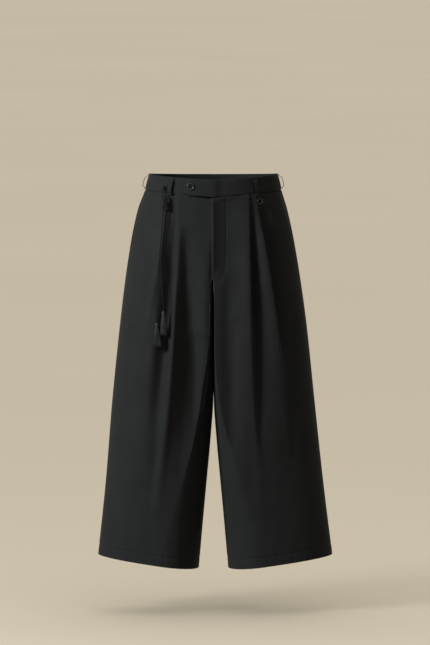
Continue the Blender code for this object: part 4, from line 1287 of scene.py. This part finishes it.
# %% Small knots
small_knots = {}
tassel_frames = {}
for run, tassel in zip(CORD_RUNS, TASSELS):
    end = cord_paths[run.name][-1]
    cord_end = run.z_points[-1]
    _, outward = place_on("right", "front", tassel.x, cord_end, 0.0, fine=False)
    top, low = cord_end - CORD_END_GAP, tassel.head_top + SEAM
    middle = upright(Vector((end.x, end.y, (top + low) / 2.0)), outward)
    half = (top - low) / 2.0
    builder = bmesh.new()
    make_core(builder, middle, 0.0015, 0.0013, half + 0.0006, -half)
    wind(builder, middle, 2.4, 0.0018, 0.0018, half - 0.0006, -half + 0.0008, 0.0005,
         0.00105, 0.0050)
    small_knots[run.name] = finish_mesh(f"small_knot_{run.name}_cord", builder)
    tassel_frames[run.name] = upright(Vector((end.x, end.y, tassel.head_top)), outward)
print("small knots", sorted(small_knots))

# %% [markdown]
# ## Tassels
#
# A tassel is a bundle of thread folded over the cord and bound below the fold. The head is
# turned from a ball of thread ends, the binding is a few wraps, and the skirt is a hundred
# and twenty separate threads that fall and spread, each a little longer or shorter than
# the next.


# %% Head, binding and skirt
THREADS = 120
GOLDEN_ANGLE = 2.39996


def make_tassel(tassel, placement):
    """Threads spread evenly from the neck by the golden angle, a binding and a round head."""
    builder = bmesh.new()
    neck = tassel.half_depth * 0.80
    spread = tassel.half_width
    for number in range(THREADS):
        golden = number * GOLDEN_ANGLE
        out = math.sqrt((number + 0.5) / THREADS)
        root = Vector((math.cos(golden) * out * neck, math.sin(golden) * out * neck, -0.0014))
        long = tassel.length * (0.93 + 0.07 * math.sin(number * 1.7) ** 2)
        drift = 0.0009 * math.sin(number * 2.3)
        points = [Vector((root.x * 0.35, root.y * 0.35, 0.0)), root + Vector((0.0, 0.0, -0.0030)),
                  Vector((root.x * 0.72, root.y * 0.72, -0.0078)),
                  Vector((root.x * 1.05 + drift, root.y * 1.0, -long * 0.34)),
                  Vector((root.x / neck * spread * 0.72 + drift, root.y * 1.08, -long * 0.66)),
                  Vector((root.x / neck * spread * 0.96 - drift, root.y * 1.10, -long))]
        line = smooth_route([placement @ point for point in points], 0.0042)
        width = 0.00050 if number % 3 else 0.00062
        add_tube(builder, line, [width] * (len(line) - 1) + [width * 0.6], 4)
    turns = np.linspace(0.0, 9.0 * math.pi, 100)
    bound = neck * 0.86
    line = [placement @ Vector((bound * math.cos(turn), bound * math.sin(turn),
                                -0.0064 - 0.0036 * turn / turns[-1])) for turn in turns]
    add_tube(builder, line, [0.00042] * len(line), 6)
    levels = (0.0, -0.0008, -0.0022, -0.0040, -0.0062, -0.0080)
    head = [placement @ Vector((0.0, 0.0, level)) for level in levels]
    add_tube(builder, head, [neck * share for share in (0.30, 0.62, 0.88, 0.96, 0.84, 0.74)], 16)
    return finish_mesh(f"tassel_{tassel.name}_threads", builder)


tassels = {tassel.name: make_tassel(tassel, tassel_frames[tassel.name]) for tassel in TASSELS}
print({name: len(piece.data.polygons) for name, piece in tassels.items()})

# %% [markdown]
# ## Stitching
#
# The curved row of stitches beside the fly, the row along each pocket mouth and the blind
# row above each hem hold these trousers together. One stitch is modelled from a small ball
# stretched along the seam, and copies of its mesh are laid along each row.

# %% One stitch
STITCH_LENGTH = 0.0026
STITCH_PITCH = 0.0034
STITCH_WIDTH = 0.0008
STITCH_PROUD = 0.00005
bpy.ops.object.select_all(action="DESELECT")
bpy.ops.mesh.primitive_uv_sphere_add(segments=6, ring_count=4, radius=0.5)
stitch = bpy.context.object
bpy.ops.object.mode_set(mode="EDIT")
bpy.ops.mesh.select_all(action="SELECT")
bpy.ops.transform.resize(value=(STITCH_WIDTH, STITCH_WIDTH * 0.7, STITCH_LENGTH))
bpy.ops.object.mode_set(mode="OBJECT")
STITCH_POINTS = [vertex.co.copy() for vertex in stitch.data.vertices]
STITCH_FACES = [tuple(face.vertices) for face in stitch.data.polygons]
bpy.data.objects.remove(stitch, do_unlink=True)
print("one stitch has", len(STITCH_FACES), "faces")


# %% Lay stitches along a row
def stitch_row(name, row):
    """Copy the stitch along a row of (point, outward) pairs."""
    points, outwards = zip(*row)
    steps = [(after - here).length for here, after in zip(points, points[1:])]
    lengths = np.concatenate(([0.0], np.cumsum(steps)))
    vertices, faces = [], []
    for start in np.arange(STITCH_PITCH * 0.5, lengths[-1] - STITCH_LENGTH, STITCH_PITCH):
        index = int(np.searchsorted(lengths, start)) - 1
        share = (start - lengths[index]) / (lengths[index + 1] - lengths[index])
        place = points[index].lerp(points[index + 1], share)
        tangent = (points[index + 1] - points[index]).normalized()
        outward = (outwards[index] - tangent * outwards[index].dot(tangent)).normalized()
        side = tangent.cross(outward)
        first = len(vertices)
        vertices += [place + side * v.x + outward * v.y + tangent * v.z for v in STITCH_POINTS]
        faces += [tuple(first + corner for corner in face) for face in STITCH_FACES]
    mesh = bpy.data.meshes.new(name)
    mesh.from_pydata(vertices, [], faces)
    mesh.shade_smooth()
    return new_piece(name, mesh)


POCKET_ROW_BACK = 0.020


def fly_row():
    """Down beside the fly, then round to the centre below it."""
    places = [(0.030, -0.026)] + [(place.x, place.height) for place in FLY_CURVE[-2::-1]]
    guide = smooth_route([Vector((x, 0.0, z)) for x, z in places], 0.004)
    return [place_on("left", "front", point.x, point.z, STITCH_PROUD) for point in guide]


def share_row(leg, face, places):
    """Row of points on the cloth, from (share, height) pairs."""
    row = []
    for share, height in places:
        point, (out_x, out_y) = outline(leg, face, share, height, STITCH_PROUD)
        row.append((Vector(point.tolist()), Vector((float(out_x), float(out_y), 0.0))))
    return row


def pocket_row(leg):
    """Beside the pocket mouth, from the waist seam down to where it ends."""
    heights = np.linspace(WAIST_SEAM - 0.003, POCKET_END + 0.004, 60)
    return share_row(leg, "front", [(float(pocket_share(height)) - POCKET_ROW_BACK, height)
                                    for height in heights])


def hem_row(leg, face):
    shares = np.linspace(0.006, 0.994, 110)
    return share_row(leg, face, [(share, HEM + HEM_DEPTH) for share in shares])


stitches = {"fly_stitches": (stitch_row("fly_stitches", fly_row()), "front_left")}
for leg in ("left", "right"):
    name = f"pocket_stitches_{leg}"
    stitches[name] = (stitch_row(name, pocket_row(leg)), "front_" + leg)
    for face in ("front", "back"):
        name = f"hem_stitches_{face}_{leg}"
        stitches[name] = (stitch_row(name, hem_row(leg, face)), f"{face}_{leg}")
print({name: len(piece.data.polygons) for name, (piece, _) in stitches.items()})

# %% [markdown]
# ## Materials
#
# Colours are written as they are seen, as sRGB hex values, and one function turns them into
# the linear values that the shader works in. One more adds a node with its settings and
# links, so that each material below reads as a list of what it is made of.


# %% Helpers for materials
def seen(hex_colour):
    """Linear colour of an sRGB hex value."""
    values = [int(hex_colour[index:index + 2], 16) / 255.0 for index in (1, 3, 5)]
    linear = [value / 12.92 if value <= 0.04045 else ((value + 0.055) / 1.055) ** 2.4
              for value in values]
    return (*linear, 1.0)


def add_node(tree, kind, settings=None, values=None, links=None, stops=()):
    """Add a node: its own settings, socket values, sockets to join, and a ramp's colours."""
    node = tree.nodes.new(kind)
    for field, value in (settings or {}).items():
        setattr(node, field, value)
    for socket, value in (values or {}).items():
        node.inputs[socket].default_value = value
    for socket, source in (links or {}).items():
        tree.links.new(source, node.inputs[socket])
    for _ in stops[2:]:
        node.color_ramp.elements.new(0.5)
    for index, (position, colour) in enumerate(stops):
        node.color_ramp.elements[index].position = position
        node.color_ramp.elements[index].color = seen(colour)
    return node


def new_material(name, constants):
    """A material whose shader has its constant values set on its own sockets."""
    material = bpy.data.materials.new(name)
    material.use_nodes = True
    shader = material.node_tree.nodes["Principled BSDF"]
    for socket, value in constants.items():
        shader.inputs[socket].default_value = value
    return material, material.node_tree, shader


def join_pattern(tree, shader, pattern, stops, gloss, relief=None):
    """A pattern colours and dulls the surface; a relief is (strength, depth, height)."""
    colour = add_node(tree, "ShaderNodeValToRGB", links={"Fac": pattern}, stops=stops)
    tree.links.new(colour.outputs["Color"], shader.inputs["Base Color"])
    dull = add_node(tree, "ShaderNodeMapRange", values=gloss, links={"Value": pattern})
    tree.links.new(dull.outputs["Result"], shader.inputs["Roughness"])
    if relief:
        strength, depth, height = relief
        bump = add_node(tree, "ShaderNodeBump", values={"Strength": strength, "Distance": depth},
                        links={"Height": height})
        tree.links.new(bump.outputs["Normal"], shader.inputs["Normal"])


print("charcoal is", [round(value, 4) for value in seen("#2f3233")[:3]])


# %% Wool crepe, woven and dyed in the piece
def wool_crepe():
    """Fine wool-blend crepe: dull, slightly pebbled, with a soft sheen at glancing light."""
    material, tree, shader = new_material("wool_crepe_woven", {
        "Metallic": 0.0, "IOR": 1.5, "Specular IOR Level": 0.10,
        "Sheen Weight": 0.03, "Sheen Roughness": 0.45, "Sheen Tint": seen("#b4bdbf"),
    })
    flat = add_node(tree, "ShaderNodeUVMap", {"uv_map": "weave"}).outputs["UV"]
    # Real threads lie 0.35 mm apart, too fine to show here, so they are drawn 1.1 mm apart
    crepe = add_node(tree, "ShaderNodeTexNoise",
                     values={"Scale": 900.0, "Detail": 2.0, "Roughness": 0.6},
                     links={"Vector": flat})
    twill = add_node(tree, "ShaderNodeTexWave",
                     {"wave_type": "BANDS", "bands_direction": "DIAGONAL"},
                     {"Scale": 290.0, "Distortion": 1.6, "Detail": 1.0, "Detail Scale": 2.0},
                     {"Vector": flat})
    slub = add_node(tree, "ShaderNodeMapping", values={"Scale": (420.0, 26.0, 1.0)},
                    links={"Vector": flat})
    warp = add_node(tree, "ShaderNodeTexNoise",
                    values={"Scale": 1.0, "Detail": 3.0, "Roughness": 0.6},
                    links={"Vector": slub.outputs["Vector"]})
    wide = add_node(tree, "ShaderNodeTexNoise",
                    values={"Scale": 14.0, "Detail": 3.0, "Roughness": 0.55},
                    links={"Vector": flat})
    threads = add_node(tree, "ShaderNodeMix", {"data_type": "FLOAT"}, {"Factor": 0.45},
                       {"A": crepe.outputs["Fac"], "B": twill.outputs["Fac"]})
    yarns = add_node(tree, "ShaderNodeMix", {"data_type": "FLOAT"}, {"Factor": 0.15},
                     {"A": threads.outputs["Result"], "B": warp.outputs["Fac"]})
    uneven = add_node(tree, "ShaderNodeMix", {"data_type": "FLOAT"}, {"Factor": 0.25},
                      {"A": yarns.outputs["Result"], "B": wide.outputs["Fac"]})
    join_pattern(tree, shader, uneven.outputs["Result"],
                 [(0.28, "#0d0e0f"), (0.50, "#111213"), (0.74, "#161718")],
                 {"From Min": 0.3, "From Max": 0.7, "To Min": 0.90, "To Max": 0.74},
                 (0.30, 0.0004, yarns.outputs["Result"]))
    return material


# %% Viscose cord and thread, twisted
def viscose_yarn(name, dark, light, across):
    """Twisted viscose: smooth shiny filaments that run along the yarn, black."""
    material, tree, shader = new_material(name, {
        "Metallic": 0.0, "IOR": 1.5, "Specular IOR Level": 0.12,
        "Sheen Weight": 0.02, "Sheen Roughness": 0.4, "Sheen Tint": seen("#9aa0a2"),
    })
    place = add_node(tree, "ShaderNodeTexCoord").outputs["Object"]
    # Filaments are 0.05 mm thick, so streaks about 0.4 mm wide stand for bundles of them
    stretch = add_node(tree, "ShaderNodeMapping",
                       values={"Scale": (across, across, across * 0.16)}, links={"Vector": place})
    fibre = add_node(tree, "ShaderNodeTexNoise",
                     values={"Scale": 1.0, "Detail": 3.0, "Roughness": 0.65},
                     links={"Vector": stretch.outputs["Vector"]}).outputs["Fac"]
    join_pattern(tree, shader, fibre, [(0.3, dark), (0.72, light)],
                 {"To Min": 0.42, "To Max": 0.70}, (0.35, 0.0003, fibre))
    return material


# %% Polyester resin, cast and polished
def button_resin():
    """Cast polyester resin, tumbled to a polish: black with faint cloudy swirls 4 mm wide."""
    material, tree, shader = new_material("polyester_resin_polished", {
        "Metallic": 0.0, "IOR": 1.55, "Specular IOR Level": 0.30,
        "Coat Weight": 0.14, "Coat Roughness": 0.12, "Coat IOR": 1.5,
    })
    place = add_node(tree, "ShaderNodeTexCoord").outputs["Object"]
    swirl = add_node(tree, "ShaderNodeTexNoise",
                     values={"Scale": 260.0, "Detail": 4.0, "Roughness": 0.55, "Distortion": 1.4},
                     links={"Vector": place}).outputs["Fac"]
    scuff = add_node(tree, "ShaderNodeTexNoise", values={"Scale": 2600.0, "Detail": 2.0},
                     links={"Vector": place}).outputs["Fac"]
    join_pattern(tree, shader, swirl, [(0.3, "#070708"), (0.62, "#0e0f0f"), (0.85, "#17181a")],
                 {"To Min": 0.22, "To Max": 0.34}, (0.06, 0.0001, scuff))
    return material


def shade_painted_dish():
    """Same resin, unpolished; darker as painted shade in the dish and painted shadow at its foot.
    """
    material, tree, shader = new_material("resin_with_painted_shade", {
        "Metallic": 0.0, "IOR": 1.55, "Specular IOR Level": 0.05,
    })
    place = add_node(tree, "ShaderNodeTexCoord").outputs["Object"]
    grain = add_node(tree, "ShaderNodeTexNoise", values={"Scale": 900.0, "Detail": 3.0},
                     links={"Vector": place}).outputs["Fac"]
    join_pattern(tree, shader, grain, [(0.3, "#030303"), (0.7, "#0a0a0b")],
                 {"To Min": 0.45, "To Max": 0.65})
    return material


# %% Steel, rolled and gunmetal plated
def plated_steel():
    """Gunmetal plating on a rolled steel ring: dark grey, worn lighter where cord rubs it."""
    material, tree, shader = new_material("gunmetal_plated_steel", {"Metallic": 1.0})
    place = add_node(tree, "ShaderNodeTexCoord").outputs["Object"]
    rub = add_node(tree, "ShaderNodeTexNoise",
                   values={"Scale": 700.0, "Detail": 4.0, "Roughness": 0.6},
                   links={"Vector": place}).outputs["Fac"]
    scratch = add_node(tree, "ShaderNodeTexNoise", values={"Scale": 3000.0, "Detail": 2.0},
                       links={"Vector": place}).outputs["Fac"]
    join_pattern(tree, shader, rub, [(0.3, "#0d0e10"), (0.7, "#202226")],
                 {"To Min": 0.30, "To Max": 0.52}, (0.1, 0.00005, scratch))
    return material


CLOTH = wool_crepe()
CORD_YARN = viscose_yarn("viscose_cord_twisted", "#020203", "#0b0c0c", 2500.0)
TASSEL_YARN = viscose_yarn("viscose_tassel_thread", "#060607", "#333436", 1800.0)
SEWING_THREAD = viscose_yarn("polyester_sewing_thread", "#040404", "#0e0f0f", 4000.0)
RESIN = button_resin()
PAINTED_SHADE_RESIN = shade_painted_dish()
STEEL = plated_steel()
print([material.name for material in (CLOTH, CORD_YARN, TASSEL_YARN, SEWING_THREAD, RESIN,
                                      PAINTED_SHADE_RESIN, STEEL)])

# %% [markdown]
# ## Putting it together
#
# Each piece gets its material, rides on the one body, and hides the plain solid of the CAD
# model that it stands for. The flat size and area of each sheet of cloth are printed.


# %% Dress the pieces
# The dish, inside this share of the diameter, gets painted shade; the foot, below this height, a
# painted shadow
SHADED_DISH_SHARE = 0.33
PAINTED_SHADOW_HEIGHT = 0.0006


def dress(piece, material, nodes):
    """Give a piece its finish, put it on the body and hide the CAD parts that it stands for."""
    piece.data.materials.clear()
    piece.data.materials.append(material)
    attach(piece, "root")
    if nodes:
        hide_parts(*nodes)


for node, piece in list(panels.items()) + list(loops.items()):
    dress(piece, CLOTH, [node])
for leg, piece in band.items():
    dress(piece, CLOTH, ["waistband_" + leg])
for piece, _ in stitches.values():
    dress(piece, SEWING_THREAD, [])
dress(waist_button, RESIN, ["waist_button"])
dress(small_button, RESIN, ["small_button"])
for button, placement, size in ((waist_button, waist_button_place, WAIST_BUTTON),
                                (small_button, small_button_place, SMALL_BUTTON)):
    button.data.materials.append(PAINTED_SHADE_RESIN)
    # Dish and foot faces take the darker resin as painted shade and painted shadow
    to_button = placement.inverted()
    for face in button.data.polygons:
        middle = to_button @ face.center
        in_shaded_dish = middle.xy.length < size.diameter * SHADED_DISH_SHARE
        face.material_index = 1 if in_shaded_dish or middle.z < PAINTED_SHADOW_HEIGHT else 0
dress(waist_thread, SEWING_THREAD, [])
dress(small_thread, SEWING_THREAD, [])
dress(eyelet, STEEL, ["eyelet"])
dress(main_knot, CORD_YARN, ["cord_knot"])
for name in ("long", "short"):
    dress(cords[name], CORD_YARN, ["cord_top_" + name, "cord_" + name])
    dress(small_knots[name], CORD_YARN, ["small_knot_" + name])
    dress(tassels[name], TASSEL_YARN, ["tassel_" + name])
print("all pieces are dressed")

# %% Print the flat size and area of each sheet
for run in CORD_RUNS:
    path = cord_paths[run.name]


def cut_size(piece):
    """Width and length of the flat cloth, and its area, from the UV map."""
    mesh = piece.data
    flat = np.zeros(len(mesh.loops) * 2)
    mesh.uv_layers["weave"].data.foreach_get("uv", flat)
    size = flat.reshape(-1, 2).max(axis=0)
    surface = sum(face.area for face in mesh.polygons) / 2.0
    return (round(float(size[0]), 3), round(float(size[1]), 3)), surface


sewn = {}
for name, (piece, node) in stitches.items():
    sewn.setdefault(node, []).append(piece)
for node, piece in panels.items():
    size, area = cut_size(piece)
    print(node, "cut", size, "area", round(area, 4))
for leg, piece in band.items():
    size, area = cut_size(piece)
    print("waistband", leg, "cut", size, "area", round(area, 4))
for node, piece in loops.items():
    size, area = cut_size(piece)
    print(node, "cut", size, "area", round(area, 6))

# %% [markdown]
# ## Floor and light
#
# The picture was taken against a plain warm pale ground, with soft light from the front left,
# and a faint shadow low on the right. A very wide floor fills the long lens's whole view, so
# no wall is needed, and the other views stay clear.

# %% Floor
FLOOR_Z = -1.01
FLOOR_SIZE = 240.0
bpy.ops.object.select_all(action="DESELECT")
bpy.ops.mesh.primitive_plane_add(size=FLOOR_SIZE, location=(0.0, 0.0, FLOOR_Z))
floor = bpy.context.object
floor.name = "studio_floor"
material, tree, shader = new_material("matt_paper_ground", {"Specular IOR Level": 0.1,
                                                            "Roughness": 0.9})
place = add_node(tree, "ShaderNodeTexCoord").outputs["Object"]
mottle = add_node(tree, "ShaderNodeTexNoise", values={"Scale": 0.6, "Detail": 3.0},
                  links={"Vector": place})
tone = add_node(tree, "ShaderNodeValToRGB", links={"Fac": mottle.outputs["Fac"]},
                stops=[(0.3, "#eee6d5"), (0.7, "#f0e9d9")])
tree.links.new(tone.outputs["Color"], shader.inputs["Base Color"])
floor.data.materials.append(material)
floor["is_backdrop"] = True
print("floor at", FLOOR_Z)

# %% [markdown]
# A photographer keeps the strong side light off the ground with flags, black cards beside
# the lamp. Here the key light is linked to the trousers alone and a second one to the floor
# alone, which does the same.


# %% Lights
ROOM_TINT = (1.0, 0.945, 0.845, 1.0)
ROOM_STRENGTH = 0.64
Softbox = namedtuple("Softbox", "name place target size power colour spread")
KEY = Softbox("key_softbox", (-3.6, -2.33, 1.7), (0.0, 0.0, -0.45), 1.3, 490.0,
              (0.94, 0.98, 1.0), 180.0)
GROUND = Softbox("ground_softbox", (-3.0, -2.7, 1.4), (0.2, -0.7, -1.0), 1.4, 19.0,
                 (1.0, 0.97, 0.92), 110.0)


def add_softbox(box, lit):
    """Square lamp with a cloth front, linked to the pieces that it lights."""
    bpy.ops.object.light_add(type="AREA", location=box.place)
    light = bpy.context.object
    light.name = box.name
    light.data.shape = "SQUARE"
    light.data.size = box.size
    light.data.energy = box.power
    light.data.color = box.colour
    light.data.spread = math.radians(box.spread)
    aim = Vector(box.target) - Vector(box.place)
    light.rotation_euler = aim.to_track_quat("-Z", "Y").to_euler()
    light.light_linking.receiver_collection = lit


lit_floor = bpy.data.collections.new("lit_floor")
lit_floor.objects.link(floor)
flagged = bpy.data.collections.new("flagged_to_trousers")
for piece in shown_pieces():
    flagged.objects.link(piece)
add_softbox(KEY, flagged)
add_softbox(GROUND, lit_floor)
world = bpy.context.scene.world or bpy.data.worlds.new("soft_room")
bpy.context.scene.world = world
world.use_nodes = True
room = world.node_tree.nodes["Background"]
room.inputs["Color"].default_value = ROOM_TINT
room.inputs["Strength"].default_value = ROOM_STRENGTH
bpy.context.scene.view_settings.view_transform = "Standard"
bpy.ops.object.select_all(action="DESELECT")
print("lights are on")
